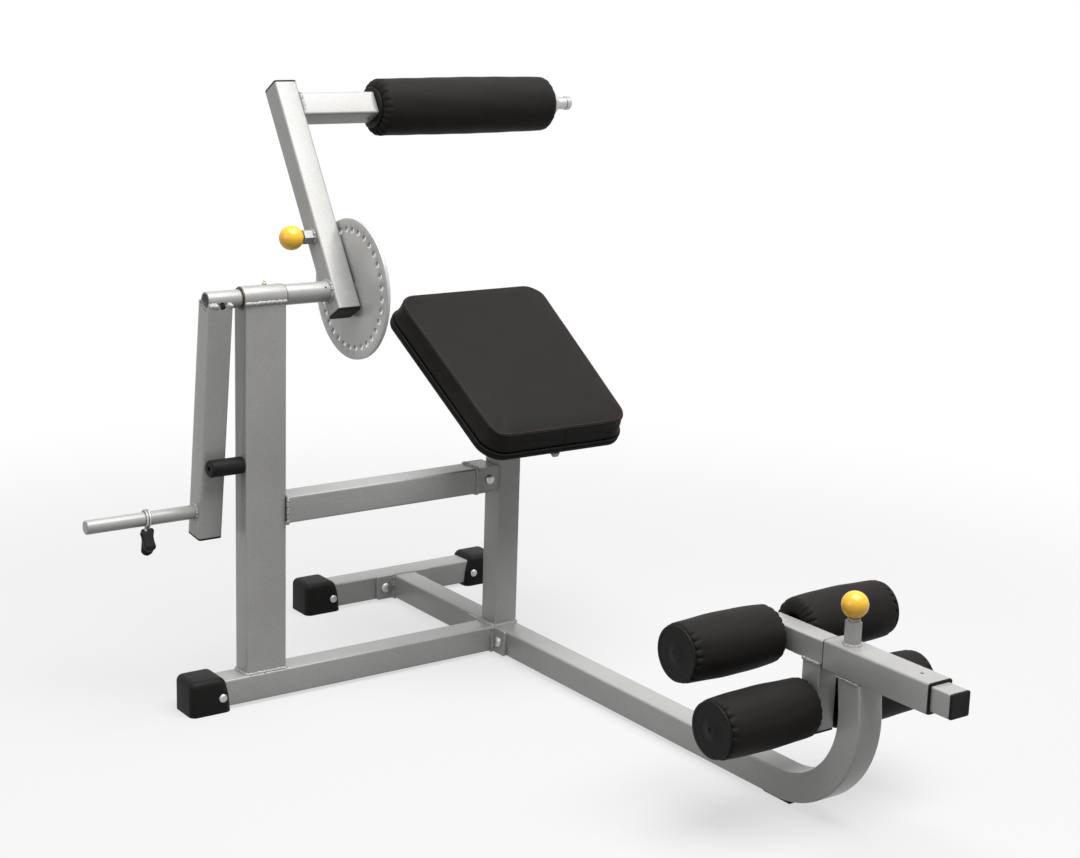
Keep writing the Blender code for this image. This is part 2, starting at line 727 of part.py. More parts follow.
def bumper(root):
    """The rubber stop on the upright that the weight arm's front face rests on."""
    reach = ARM_TUBE / 2 + GAP + BUMPER / 2
    fall = PIVOT_HEIGHT - BUMPER_HEIGHT
    y = (fall * math.sin(WEIGHT_ARM_ANGLE) - reach) / math.cos(WEIGHT_ARM_ANGLE)
    piece("bumper", rod_mesh(BUMPER, BUMPER_LENGTH, 0.0025), BLACK_RUBBER, root,
          (UPRIGHT_LEFT - GAP - BUMPER_LENGTH / 2, y, BUMPER_HEIGHT), ALONG_X)


def brace(root):
    """The brace from the upright to the seat post, its end bracket and the bracket's plug."""
    post_left = -TUBE / 2 - GAP
    right = post_left - TUBE - 2 * GAP
    left = UPRIGHT_RIGHT + GAP
    piece("brace_tube", tube_mesh(TUBE, TUBE, right - left), SILVER_PAINT, root,
          ((left + right) / 2, 0, BRACE_HEIGHT), ALONG_X)
    bracket_rear = BRACKET_FRONT + BRACKET_LENGTH
    middle = (BRACKET_FRONT + bracket_rear) / 2
    bracket_x = post_left - TUBE / 2 - GAP / 2
    bracket = piece("brace_bracket", tube_mesh(TUBE, TUBE, BRACKET_LENGTH), SILVER_PAINT, root,
                    (bracket_x, middle, BRACE_HEIGHT), ALONG_Y)
    fuse(bracket, plate_mesh(TUBE - TUBE_WALL, TUBE - TUBE_WALL, 2 * TUBE_WALL),
         (bracket_x, BRACKET_FRONT + 1.5 * TUBE_WALL, BRACE_HEIGHT), ALONG_Y)
    piece("brace_plug", plug_mesh(TUBE, TUBE_WALL), BLACK_PLASTIC, root,
          (bracket_x, bracket_rear + GAP, BRACE_HEIGHT), ALONG_Y)


# Seat

def seat_frame(root):
    """An empty on the middle of the pad's top plane, tilted with it: Y back, Z out of the pad."""
    return empty("seat_axes", root, (0, PAD_Y, PAD_Z), (PAD_TILT, 0, 0))


def seat_post(root, frame):
    """The post on the long tube, its top cut to the seat's tilt under the support plate."""
    bottom = TUBE_TOP + GAP
    drop = PAD_STACK + GAP
    plane = Vector((0, 0, -drop))
    plane.rotate(Matrix.Rotation(PAD_TILT, 3, "X"))
    foot = frame.location + plane
    top = foot.z + (SEAT_POST_Y + TUBE - foot.y) * math.tan(PAD_TILT)
    post = piece("seat_post", tube_mesh(TUBE, TUBE, top - bottom), SILVER_PAINT, root,
                 (0, SEAT_POST_Y, (top + bottom) / 2))
    block = PAD_LENGTH / 2
    corner = foot + Matrix.Rotation(PAD_TILT, 3, "X") @ Vector((0, 0, block / 2))
    cut(post, box_mesh((2 * TUBE, 2 * PAD_LENGTH, block)), corner, (PAD_TILT, 0, 0))


def seat_support(frame):
    """The plate on the post's top and the bar that runs under the board to its front edge."""
    board_bottom = -PAD_THICKNESS - BOARD_THICKNESS - 2 * GAP
    plate_z = board_bottom - SUPPORT_THICKNESS / 2
    post_offset = -frame.location.y / math.cos(PAD_TILT)
    bar_front = -PAD_LENGTH / 2 - BOARD_FLARE
    support = piece("seat_support", plate_mesh(SUPPORT_WIDTH, SUPPORT_LENGTH, SUPPORT_THICKNESS),
                    SILVER_PAINT, frame, (0, post_offset, plate_z))
    bar_width, bar_height = SUPPORT_BAR
    bar_rear = post_offset - SUPPORT_LENGTH / 2 + 0.01
    bar = box_mesh((bar_width, bar_rear - bar_front, bar_height), 0.001, 1)
    fuse(support, bar, (0, (bar_rear + bar_front) / 2, board_bottom - bar_height / 2))


def pad_outline(inset, side_points):
    """The pad's rounded outline, wider toward its rear end, drawn in by the inset."""
    corner = max(PAD_CORNER - inset, PAD_CORNER / 3)
    loop = rounded_rectangle(PAD_WIDTH - 2 * inset, PAD_LENGTH - 2 * inset, corner, 5, side_points)
    widen = 2 * PAD_TAPER / PAD_WIDTH
    return [(x * (1 + widen * y), y) for x, y in loop]


def seat_board(frame):
    """The wrapped board under the cushion."""
    rim = 0.002
    levels = ((rim, 0.0), (0.0, rim), (0.0, BOARD_THICKNESS - rim), (rim, BOARD_THICKNESS))
    rings = [(pad_outline(inset - BOARD_FLARE, 0), height) for inset, height in levels]
    piece("seat_board", lofted_mesh(rings), BLACK_VINYL, frame,
          (0, 0, -PAD_THICKNESS - GAP - BOARD_THICKNESS))


def pad_levels():
    """The cushion's side and crown as (inset, height) pairs, from its lower edge upward."""
    wall = PAD_THICKNESS - PAD_CROWN - 2 * PIPING
    levels = [(0.003 - PAD_FLARE, 0.0), (-PAD_FLARE, 0.003)]
    for step in range(1, 5):
        share = step / 5
        drawn = PAD_DRAW * math.sin(math.pi * share)
        levels.append((drawn - PAD_FLARE * (1 - share), wall * share))
    levels += [(0.0, wall - PIPING), (-PIPING, wall), (-PIPING, wall + PIPING / 2),
               (0.0, wall + PIPING)]
    reach = PAD_WIDTH / 2 - PAD_CORNER
    for step in range(1, 9):
        share = step / 8
        rise = math.sin(math.pi / 2 * share ** 0.6)
        levels.append((reach * share ** 1.8, wall + PIPING + (PAD_CROWN + PIPING) * rise))
    return levels


def seat_pad(frame):
    """The cushion: drawn-in sides, a piped seam round its upper edge and a crowned top."""
    rings = [(pad_outline(inset, 1), height) for inset, height in pad_levels()]
    piece("seat_pad", lofted_mesh(rings), BLACK_VINYL, frame, (0, 0, -PAD_THICKNESS))


# Weight lever

def weight_hub(lever):
    """The pivot shaft and the hub that holds the weight arm on its left end."""
    shaft_left = WEIGHT_HUB_LEFT + SHAFT_RECESS
    shaft_right = DISC_RIGHT + DISC_BOSS_LENGTH
    middle = (shaft_left + shaft_right) / 2 - UPRIGHT_X
    piece("pivot_shaft", rod_mesh(SHAFT, shaft_right - shaft_left, 0.002), BARE_STEEL, lever,
          (middle, 0, 0), ALONG_X)
    hub_x = (WEIGHT_HUB_LEFT + WEIGHT_HUB_RIGHT) / 2 - UPRIGHT_X
    hub = piece("weight_hub", ring_mesh(WEIGHT_HUB, SHAFT + 2 * GAP, WEIGHT_HUB_LENGTH),
                SILVER_PAINT, lever, (hub_x, 0, 0), ALONG_X)
    cut(hub, rod_mesh(GREASE_HOLE, WEIGHT_HUB, 0, SMALL_STEPS), (hub_x, -WEIGHT_HUB / 2, 0),
        ALONG_Y)


def weight_arm(lever):
    """The arm that hangs from the hub against the bumper, with its plug and its horn."""
    hang = empty("weight_arm_axes", lever, (WEIGHT_ARM_X - UPRIGHT_X, 0, 0),
                 (WEIGHT_ARM_ANGLE, 0, 0))
    bottom = -WEIGHT_ARM_LENGTH + PLUG_LIP + GAP
    length = -WEIGHT_ARM_TOP - bottom
    arm = piece("weight_arm", tube_mesh(ARM_TUBE, ARM_TUBE, length, ARM_CORNER), SILVER_PAINT,
                hang, (0, 0, bottom + length / 2))
    cut(arm, rod_mesh(WEIGHT_HUB + 2 * GAP, 2 * ARM_TUBE), (0, 0, 0), ALONG_X)
    piece("weight_arm_plug", plug_mesh(ARM_TUBE, TUBE_WALL), BLACK_PLASTIC, hang,
          (0, 0, bottom - GAP), (math.pi, 0, 0))
    horn_x = (HORN_LEFT + HORN_RIGHT) / 2 - WEIGHT_ARM_X
    piece("weight_horn", rod_mesh(HORN, HORN_LENGTH, 0.0025), SILVER_PAINT, hang,
          (horn_x, 0, -HORN_DROP), ALONG_X)
    return hang


def spring_collar(hang):
    """The sprung wire clip on the horn: one unbroken coil whose ends hang down into two grips."""
    pitch = COLLAR_WIRE + COLLAR_COIL_GAP
    radius = HORN / 2 + 2 * GAP + COLLAR_WIRE / 2
    width = pitch * COLLAR_TURNS
    steps = COIL_STEPS * COLLAR_TURNS
    coil = []
    for step in range(steps + 1):
        wound = (2 * math.pi * COLLAR_TURNS - 2 * COLLAR_OPEN_ANGLE) * step / steps
        angle = COLLAR_OPEN_ANGLE + wound
        coil.append((width / 2 - width * step / steps, radius * math.sin(angle),
                     -radius * math.cos(angle)))
    axes = empty("collar_axes", hang,
                 (HORN_RIGHT - COLLAR_PLACE - WEIGHT_ARM_X, 0, -HORN_DROP),
                 (-WEIGHT_ARM_ANGLE, 0, 0))
    ends = (
        (coil[-1], "front", COLLAR_FRONT_SPLAY, COLLAR_FRONT_GRIP),
        (coil[0], "rear", COLLAR_REAR_SPLAY, COLLAR_REAR_GRIP),
    )
    legs = []
    for point, place, splay, length in ends:
        leg = Vector((0, math.sin(splay), -math.cos(splay)))
        top = Vector(point)
        legs.append([tuple(top + leg * COLLAR_LEG * share) for share in (1.0, 0.3)])
        grip = piece(f"collar_grip_{place}",
                     plate_mesh(COLLAR_GRIP_WIDTH, COLLAR_GRIP_DEPTH, length, 0.0035),
                     BLACK_PLASTIC, axes, top + leg * (COLLAR_GRIP_START + length / 2),
                     (splay, 0, 0))
        socket = 2 * (COLLAR_LEG - COLLAR_GRIP_START + GAP)
        cut(grip, rod_mesh(COLLAR_WIRE + 4 * GAP, socket, 0, SMALL_STEPS),
            top + leg * COLLAR_GRIP_START, (splay, 0, 0))
    wire = legs[1] + coil + legs[0][::-1]
    piece("collar_spring", wire_mesh(wire, COLLAR_WIRE), BARE_STEEL, axes)
    print(f"collar coil: least gap between turns {1000 * (pitch - COLLAR_WIRE):.2f} mm")


def hole_disc(lever):
    """The disc on the shaft's right end, with its ring of locating holes and its boss."""
    loops = [circle(2 * DISC_RADIUS, DISC_STEPS), circle(SHAFT + 2 * GAP, ROUND_STEPS)]
    for index in range(HOLE_COUNT):
        angle = 2 * math.pi * index / HOLE_COUNT + math.pi - ARM_LEAN
        centre = (HOLE_CIRCLE * math.cos(angle), HOLE_CIRCLE * math.sin(angle))
        loops.append(circle(HOLE, HOLE_STEPS, centre))
    disc = piece("hole_disc", outline_mesh(loops, DISC_THICKNESS), SILVER_PAINT, lever,
                 ((DISC_LEFT + DISC_RIGHT) / 2 - UPRIGHT_X, 0, 0), ALONG_X)
    boss = ring_mesh(DISC_BOSS, SHAFT + 2 * GAP, DISC_BOSS_LENGTH + DISC_THICKNESS)
    fuse(disc, boss, ((DISC_LEFT + DISC_RIGHT + DISC_BOSS_LENGTH) / 2 - UPRIGHT_X, 0, 0), ALONG_X)


# Upper arm

def upper_arm(arm):
    """The arm tube with its pin barrel, its two end plugs and the hub on the shaft."""
    top = ARM_ABOVE - PLUG_LIP - GAP
    bottom = -ARM_BELOW + PLUG_LIP + GAP
    tube = piece("upper_arm", tube_mesh(ARM_TUBE, ARM_TUBE, top - bottom, ARM_CORNER),
                 SILVER_PAINT, arm, (0, 0, (top + bottom) / 2))
    barrel_x = -ARM_TUBE / 2 - ARM_PIN_BARREL_LENGTH / 2
    fuse(tube, hex_mesh(PIN_BARREL_FLATS, ARM_PIN_BARREL_LENGTH + TUBE_WALL),
         (barrel_x + TUBE_WALL / 2, 0, HOLE_CIRCLE), ALONG_X)
    cut(tube, rod_mesh(PIN + 2 * GAP, 4 * ARM_TUBE, 0, SMALL_STEPS), (0, 0, HOLE_CIRCLE), ALONG_X)
    cut(tube, rod_mesh(SHAFT + 2 * GAP, 2 * ARM_TUBE), (0, 0, 0), ALONG_X)
    plug = plug_mesh(ARM_TUBE, TUBE_WALL)
    piece("arm_plug_top", plug, BLACK_PLASTIC, arm, (0, 0, top + GAP))
    piece("arm_plug_bottom", plug, BLACK_PLASTIC, arm, (0, 0, bottom - GAP), (math.pi, 0, 0))
    hub = piece("arm_hub", ring_mesh(ARM_HUB, SHAFT + 2 * GAP, ARM_HUB_LENGTH), SILVER_PAINT, arm,
                (ARM_HUB_LEFT + ARM_HUB_LENGTH / 2 - ARM_X, 0, 0), ALONG_X)
    cut(hub, rod_mesh(HUB_PIN_HOLE, ARM_HUB, 0, HOLE_STEPS),
        (ARM_LEFT - HUB_PIN_PLACE - ARM_X, -ARM_HUB / 2, 0), ALONG_Y)


def cross_tube(arm):
    """The tube across to the chest roller, closed by a plate that the roller's bar goes through."""
    at = ((CROSS_LEFT + CROSS_RIGHT) / 2 - ARM_X, 0, CROSS_REACH)
    tube = piece("cross_tube", tube_mesh(ARM_TUBE, ARM_TUBE, CROSS_LENGTH, ARM_CORNER),
                 SILVER_PAINT, arm, at, ALONG_X)
    end = CROSS_RIGHT - END_PLATE / 2 - ARM_X
    inside = ARM_TUBE - TUBE_WALL
    fuse(tube, plate_mesh(inside, inside, END_PLATE - GAP), (end - GAP / 2, 0, CROSS_REACH), ALONG_X)
    cut(tube, rod_mesh(CHEST_BAR + 2 * GAP, 4 * END_PLATE), (end, 0, CROSS_REACH), ALONG_X)
    cut(tube, rod_mesh(DRAIN_HOLE, TUBE / 2, 0, SMALL_STEPS),
        (CROSS_RIGHT - DRAIN_HOLE_PLACE - ARM_X, 0, CROSS_REACH - ARM_TUBE / 2))


def chest_bar(arm):
    """The roller's bar, with the collar that keeps the roller on it."""
    left = CROSS_RIGHT - CHEST_BAR_INSET
    collar = CHEST_RIGHT + GAP
    radius = CHEST_BAR / 2
    ring = CHEST_BAR_COLLAR / 2
    profile = [
        (0.0, CHEST_BAR_END), (radius - 0.002, CHEST_BAR_END), (radius, CHEST_BAR_END - 0.002),
        (radius, collar + CHEST_BAR_COLLAR_LENGTH), (ring - 0.001, collar + CHEST_BAR_COLLAR_LENGTH),
        (ring, collar + CHEST_BAR_COLLAR_LENGTH - 0.001), (ring, collar), (radius, collar),
        (radius, left), (0.0, left),
    ]
    piece("chest_bar", turned_mesh(profile), BARE_STEEL, arm, (-ARM_X, 0, CROSS_REACH), ALONG_X)


def pull_pin(name, axes, barrel_length, nose, knob):
    """A pull pin along local Z: the rod down to its nose and the ball knob on its barrel."""
    seat = barrel_length + GAP
    top = seat + KNOB_SOCKET - GAP
    length = top - nose
    piece(f"{name}_rod", rod_mesh(PIN, length, PIN_CHAMFER, SMALL_STEPS), BARE_STEEL, axes,
          (0, 0, nose + length / 2))
    rise = knob / 2 * math.cos(math.asin(KNOB_FLAT))
    piece(f"{name}_knob", knob_mesh(knob, PIN), YELLOW_PLASTIC, axes, (0, 0, seat + rise))


def arm_pin(arm):
    """The pin that locks the arm to one of the disc's holes, pulled to the left."""
    axes = empty("arm_pin_axes", arm, (-ARM_TUBE / 2, 0, HOLE_CIRCLE), (0, -math.pi / 2, 0))
    nose = -ARM_TUBE - DISC_ARM_CLEARANCE + GAP
    pull_pin("arm_pin", axes, ARM_PIN_BARREL_LENGTH, nose, ARM_KNOB)


# Rollers

def foam_mesh(diameter, length, bore):
    """A covered foam roller along Z: crowned, with drawn-in ends gathered in small pleats."""
    radius = diameter / 2
    half = length / 2
    outer = []
    for step in range(4):
        angle = math.pi / 2 * step / 3
        outer.append((radius - FOAM_SHOULDER_DROP * (1 - math.sin(angle)),
                      half - FOAM_SHOULDER * (1 - math.cos(angle))))
    middle = [(radius + FOAM_CROWN, 0.0)]
    mirrored = [(r, -z) for r, z in reversed(outer)]
    mesh = turned_mesh([(bore / 2, half)] + outer + middle + mirrored + [(bore / 2, -half)],
                       3 * GATHERS, closed=True)
    work = bmesh.new()
    work.from_mesh(mesh)
    for vert in work.verts:
        reach = math.hypot(vert.co.x, vert.co.y)
        into = GATHER_LENGTH - (half - abs(vert.co.z))
        if reach < radius / 2 or into <= 0:
            continue
        wave = 0.5 - 0.5 * math.cos(GATHERS * math.atan2(vert.co.y, vert.co.x))
        pull = 1 - GATHER_DEPTH * wave * (into / GATHER_LENGTH) / reach
        vert.co.x *= pull
        vert.co.y *= pull
    work.to_mesh(mesh)
    work.free()
    return mesh


def core_mesh(disc, length, bar, closed_end):
    """A roller's core along Z: a tube on the bar with an end disc on each side of the foam."""
    half = length / 2
    bore = bar / 2 + GAP
    hub = bore + CORE_WALL
    wall = half - DISC_WALL
    edge = disc / 2
    inner = [
        (hub, wall), (hub, -wall), (edge, -wall), (edge, -half + 0.001), (edge - 0.001, -half),
        (bore, -half),
    ]
    if not closed_end:
        top = [(bore, half), (edge - 0.001, half), (edge, half - 0.001), (edge, wall)]
        return turned_mesh(top + inner, CORE_STEPS, closed=True)
    dimple = 0.006
    top = [(0.0, half - 0.0012), (dimple, half - 0.0012), (dimple + 0.001, half),
           (edge - 0.001, half), (edge, half - 0.001), (edge, wall)]
    return turned_mesh(top + inner + [(bore, wall), (0.0, wall)], CORE_STEPS)


def foot_roller(name, carriage, at, side):
    """One foot roller on its own axes, with its closed disc at the outer end."""
    axes = empty(f"{name}_axes", carriage, at, (0, side * math.pi / 2, 0))
    foam_length = FOOT_ROLLER_LENGTH - 2 * DISC_WALL - 2 * GAP
    bore = FOOT_BAR + 4 * GAP + 2 * CORE_WALL
    piece(f"{name}_foam", foam_mesh(FOOT_ROLLER, foam_length, bore), BLACK_VINYL, axes)
    piece(f"{name}_core", core_mesh(FOOT_ROLLER_DISC, FOOT_ROLLER_LENGTH, FOOT_BAR, True),
          BLACK_PLASTIC, axes)


def chest_roller(arm):
    """The chest roller on its bar, open right through."""
    axes = empty("chest_roller_axes", arm,
                 ((CHEST_LEFT + CHEST_RIGHT) / 2 - ARM_X, 0, CROSS_REACH), ALONG_X)
    foam_length = CHEST_ROLLER_LENGTH - 2 * DISC_WALL - 2 * GAP
    bore = CHEST_BAR + 4 * GAP + 2 * CORE_WALL
    piece("chest_roller_foam", foam_mesh(CHEST_ROLLER, foam_length, bore), BLACK_VINYL, axes)
    piece("chest_roller_core",
          core_mesh(CHEST_ROLLER_DISC, CHEST_ROLLER_LENGTH, CHEST_BAR, False),
          BLACK_PLASTIC, axes)


# Foot carriage

def carriage_sleeve(root):
    """The sleeve on the bent leg, its pin barrel, its two liners and its adjusting pin."""
    middle = CARRIAGE_SLEEVE_REAR - CARRIAGE_SLEEVE_LENGTH / 2
    sleeve = piece("carriage_sleeve", tube_mesh(TUBE, TUBE, CARRIAGE_SLEEVE_LENGTH), SILVER_PAINT,
                   root, (0, middle, CARRIAGE_HEIGHT), ALONG_Y)
    fuse(sleeve, hex_mesh(PIN_BARREL_FLATS, CARRIAGE_PIN_BARREL_LENGTH + TUBE_WALL / 2),
         (0, CARRIAGE_PIN_Y, SLEEVE_TOP + CARRIAGE_PIN_BARREL_LENGTH / 2 - TUBE_WALL / 4))
    cut(sleeve, rod_mesh(PIN + 2 * GAP, 2 * CARRIAGE_PIN_BARREL_LENGTH, 0, SMALL_STEPS),
        (0, CARRIAGE_PIN_Y, SLEEVE_TOP + CARRIAGE_PIN_BARREL_LENGTH / 2))
    front = CARRIAGE_SLEEVE_REAR - CARRIAGE_SLEEVE_LENGTH
    cut(sleeve, rod_mesh(DRAIN_HOLE, TUBE_WALL * 4, 0, SMALL_STEPS),
        (0, front + SLEEVE_HOLE_PLACE, SLEEVE_TOP))
    liner = liner_mesh()
    piece("sleeve_liner_rear", liner, BLACK_PLASTIC, root,
          (0, CARRIAGE_SLEEVE_REAR + GAP, CARRIAGE_HEIGHT), ALONG_Y)
    piece("sleeve_liner_front", liner, BLACK_PLASTIC, root,
          (0, front - GAP, CARRIAGE_HEIGHT), (math.pi / 2, 0, 0))


def liner_mesh():
    """A plastic liner along Z: its lip above Z = 0, its body below, and a square way through."""
    body = TUBE - 2 * TUBE_WALL - 2 * GAP
    way = CARRIAGE_TUBE + 2 * GAP
    lip = outline_mesh([rounded_rectangle(TUBE - 0.001, TUBE - 0.001, TUBE_CORNER)], LINER_LIP)
    shell = outline_mesh([rounded_rectangle(body, body, 0.002, 1)], LINER_LENGTH)
    solid = joined_mesh(lip, shell, (0, 0, -LINER_LENGTH / 2 - LINER_LIP / 2 + GAP))
    hollow = bpy.data.objects.new("hollow", outline_mesh(
        [rounded_rectangle(way, way, CARRIAGE_CORNER)], 3 * LINER_LENGTH))
    bpy.context.scene.collection.objects.link(hollow)
    obj = bpy.data.objects.new("liner", solid)
    obj.data.transform(Matrix.Translation((0, 0, LINER_LIP / 2)))
    modifier = obj.modifiers.new("Difference", "BOOLEAN")
    modifier.object = hollow
    mesh = evaluated_mesh(obj)
    bpy.data.objects.remove(hollow)
    return mesh


def carriage_pin(root):
    """The pin that locks the inner tube in the sleeve, pulled upward."""
    axes = empty("carriage_pin_axes", root, (0, CARRIAGE_PIN_Y, SLEEVE_TOP))
    nose = CARRIAGE_HEIGHT + CARRIAGE_TUBE / 2 + GAP - SLEEVE_TOP
    pull_pin("carriage_pin", axes, CARRIAGE_PIN_BARREL_LENGTH, nose, CARRIAGE_KNOB)


def inner_tube(carriage):
    """The sliding tube with its front plug, its row of pin holes and the upper roller bar."""
    length = INNER_REAR - INNER_FRONT
    middle = (INNER_REAR + INNER_FRONT) / 2 - CARRIAGE_PIN_Y
    tube = piece("inner_tube", tube_mesh(CARRIAGE_TUBE, CARRIAGE_TUBE, length, CARRIAGE_CORNER),
                 SILVER_PAINT, carriage, (0, middle, 0), ALONG_Y)
    fuse(tube, rod_mesh(FOOT_BAR, bar_length(), 0.001),
         (0, UPPER_BAR_Y - CARRIAGE_PIN_Y, 0), ALONG_X)
    for index in range(CARRIAGE_HOLES):
        cut(tube, rod_mesh(PIN + 4 * GAP, 4 * TUBE_WALL, 0, SMALL_STEPS),
            (0, -index * CARRIAGE_HOLE_STEP, CARRIAGE_TUBE / 2))
    piece("inner_plug", plug_mesh(CARRIAGE_TUBE, TUBE_WALL, corner=CARRIAGE_CORNER), BLACK_PLASTIC,
          carriage, (0, INNER_FRONT - GAP - CARRIAGE_PIN_Y, 0), (math.pi / 2, 0, 0))


def bar_length():
    """The length of a roller bar, whose ends stop inside the closed discs."""
    roller_end = CARRIAGE_TUBE / 2 + FOOT_ROLLER_SPACE + FOOT_ROLLER_LENGTH
    return 2 * (roller_end - DISC_WALL - 2 * GAP)


def drop_tube(carriage):
    """The short tube under the inner tube, with its plug and the lower roller bar."""
    bottom = DROP_TUBE_BOTTOM + PLUG_LIP + GAP
    top = CARRIAGE_HEIGHT - CARRIAGE_TUBE / 2 - GAP
    y = DROP_TUBE_Y - CARRIAGE_PIN_Y
    tube = piece("drop_tube",
                 tube_mesh(CARRIAGE_TUBE, CARRIAGE_TUBE, top - bottom, CARRIAGE_CORNER),
                 SILVER_PAINT, carriage, (0, y, (top + bottom) / 2 - CARRIAGE_HEIGHT))
    fuse(tube, rod_mesh(FOOT_BAR, bar_length(), 0.001),
         (0, y, LOWER_BAR_Z - CARRIAGE_HEIGHT), ALONG_X)
    piece("drop_plug", plug_mesh(CARRIAGE_TUBE, TUBE_WALL, corner=CARRIAGE_CORNER), BLACK_PLASTIC,
          carriage, (0, y, bottom - GAP - CARRIAGE_HEIGHT), (math.pi, 0, 0))


def foot_rollers(carriage):
    """The four foot rollers, two on each bar."""
    offset = CARRIAGE_TUBE / 2 + FOOT_ROLLER_SPACE + FOOT_ROLLER_LENGTH / 2
    bars = (("upper", UPPER_BAR_Y, CARRIAGE_HEIGHT), ("lower", DROP_TUBE_Y, LOWER_BAR_Z))
    for level, y, z in bars:
        for side, hand in ((-1, "left"), (1, "right")):
            at = (side * offset, y - CARRIAGE_PIN_Y, z - CARRIAGE_HEIGHT)
            foot_roller(f"foot_roller_{level}_{hand}", carriage, at, side)


def build():
    """Make the whole machine under one origin empty."""
    root = empty("machine_origin", None, -ORIGIN)
    base_tube(root)
    rear_stabilizer(root)
    long_tube(root)
    foot_caps(root)
    bend_pad(root)
    main_upright(root)
    pivot_sleeve(root)
    bumper(root)
    brace(root)
    frame = seat_frame(root)
    seat_post(root, frame)
    seat_support(frame)
    seat_board(frame)
    seat_pad(frame)
    lever = empty("lever_axis", root, (UPRIGHT_X, 0, PIVOT_HEIGHT))
    weight_hub(lever)
    hang = weight_arm(lever)
    spring_collar(hang)
    hole_disc(lever)
    arm = empty("arm_axis", lever, (ARM_X - UPRIGHT_X, 0, 0), (-ARM_LEAN, 0, 0))
    upper_arm(arm)
    cross_tube(arm)
    chest_bar(arm)
    arm_pin(arm)
    chest_roller(arm)
    carriage_sleeve(root)
    carriage_pin(root)
    carriage = empty("carriage_axis", root, (0, CARRIAGE_PIN_Y, CARRIAGE_HEIGHT))
    inner_tube(carriage)
    drop_tube(carriage)
    foot_rollers(carriage)
    bpy.context.view_layer.update()


build()
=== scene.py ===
"""The looks of an ab and back machine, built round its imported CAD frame.

Metres, +Z up, +Y toward the rear. Each class below is one sub-assembly of the machine: it
holds its own sizes, makes finer meshes in the places of the CAD solids and dresses them.
"""

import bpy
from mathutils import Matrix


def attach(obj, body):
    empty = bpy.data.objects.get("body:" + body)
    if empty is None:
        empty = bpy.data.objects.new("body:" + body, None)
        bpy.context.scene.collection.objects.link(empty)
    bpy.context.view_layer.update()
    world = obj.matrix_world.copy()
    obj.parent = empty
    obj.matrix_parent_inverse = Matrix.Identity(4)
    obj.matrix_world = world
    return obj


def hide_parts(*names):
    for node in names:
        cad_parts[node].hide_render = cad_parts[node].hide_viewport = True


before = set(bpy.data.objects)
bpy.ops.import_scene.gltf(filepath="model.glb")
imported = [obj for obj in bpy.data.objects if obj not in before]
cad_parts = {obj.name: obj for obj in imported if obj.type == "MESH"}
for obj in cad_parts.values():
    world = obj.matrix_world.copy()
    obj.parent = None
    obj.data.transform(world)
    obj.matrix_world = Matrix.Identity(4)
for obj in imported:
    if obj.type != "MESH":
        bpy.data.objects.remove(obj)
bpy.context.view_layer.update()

import logging
import math
from collections.abc import Callable
from dataclasses import dataclass, field
from enum import Enum
from typing import ClassVar

import bmesh
import bpy
import numpy as np
from mathutils import Euler, Matrix, Vector

LOG = logging.getLogger("machine")

GAP = 0.0003
MERGE = 0.00001
ROUND = 64
FINE = 32
CORNER = 6
SMOOTH_ANGLE = math.radians(32)
SOFT_ANGLE = math.radians(80)
KNOB_FLAT = math.asin(0.34)
KNOB_SOCKET = 0.013

Mesh = bpy.types.Mesh
Object = bpy.types.Object
Material = bpy.types.Material
Point = tuple[float, float, float]
Loop = list[tuple[float, float]]


class Turn(Enum):
    """Turns that lay a local Z along the machine's axes. OUTLINE lays X, Y on its Y, Z."""

    UP = (0.0, 0.0, 0.0)
    DOWN = (math.pi, 0.0, 0.0)
    RIGHT = (0.0, math.pi / 2, 0.0)
    LEFT = (0.0, -math.pi / 2, 0.0)
    REAR = (-math.pi / 2, 0.0, 0.0)
    FRONT = (math.pi / 2, 0.0, 0.0)
    OUTLINE = tuple(Matrix(((0, 0, 1), (1, 0, 0), (0, 1, 0))).to_euler())


class Slot(Enum):
    """The record's material slots."""

    PAINT = "silver_paint"
    STEEL = "bright_steel"
    ZINC = "zinc_steel"
    BRONZE = "bronze"
    RUBBER = "black_rubber"
    PLASTIC = "black_plastic"
    VINYL = "black_vinyl"
    YELLOW = "yellow_plastic"


def placed(parent: Matrix, at: Point = (0, 0, 0), turn: Turn | Point = Turn.UP) -> Matrix:
    """A matrix for a place and a turn under a parent.

    Args:
        parent: The parent's matrix.
        at: The place in the parent's axes.
        turn: A named turn, or Euler angles.

    Returns:
        The place's matrix in the row frame.
    """
    angles = turn.value if isinstance(turn, Turn) else turn
    return parent @ Matrix.Translation(Vector(at)) @ Euler(angles).to_matrix().to_4x4()


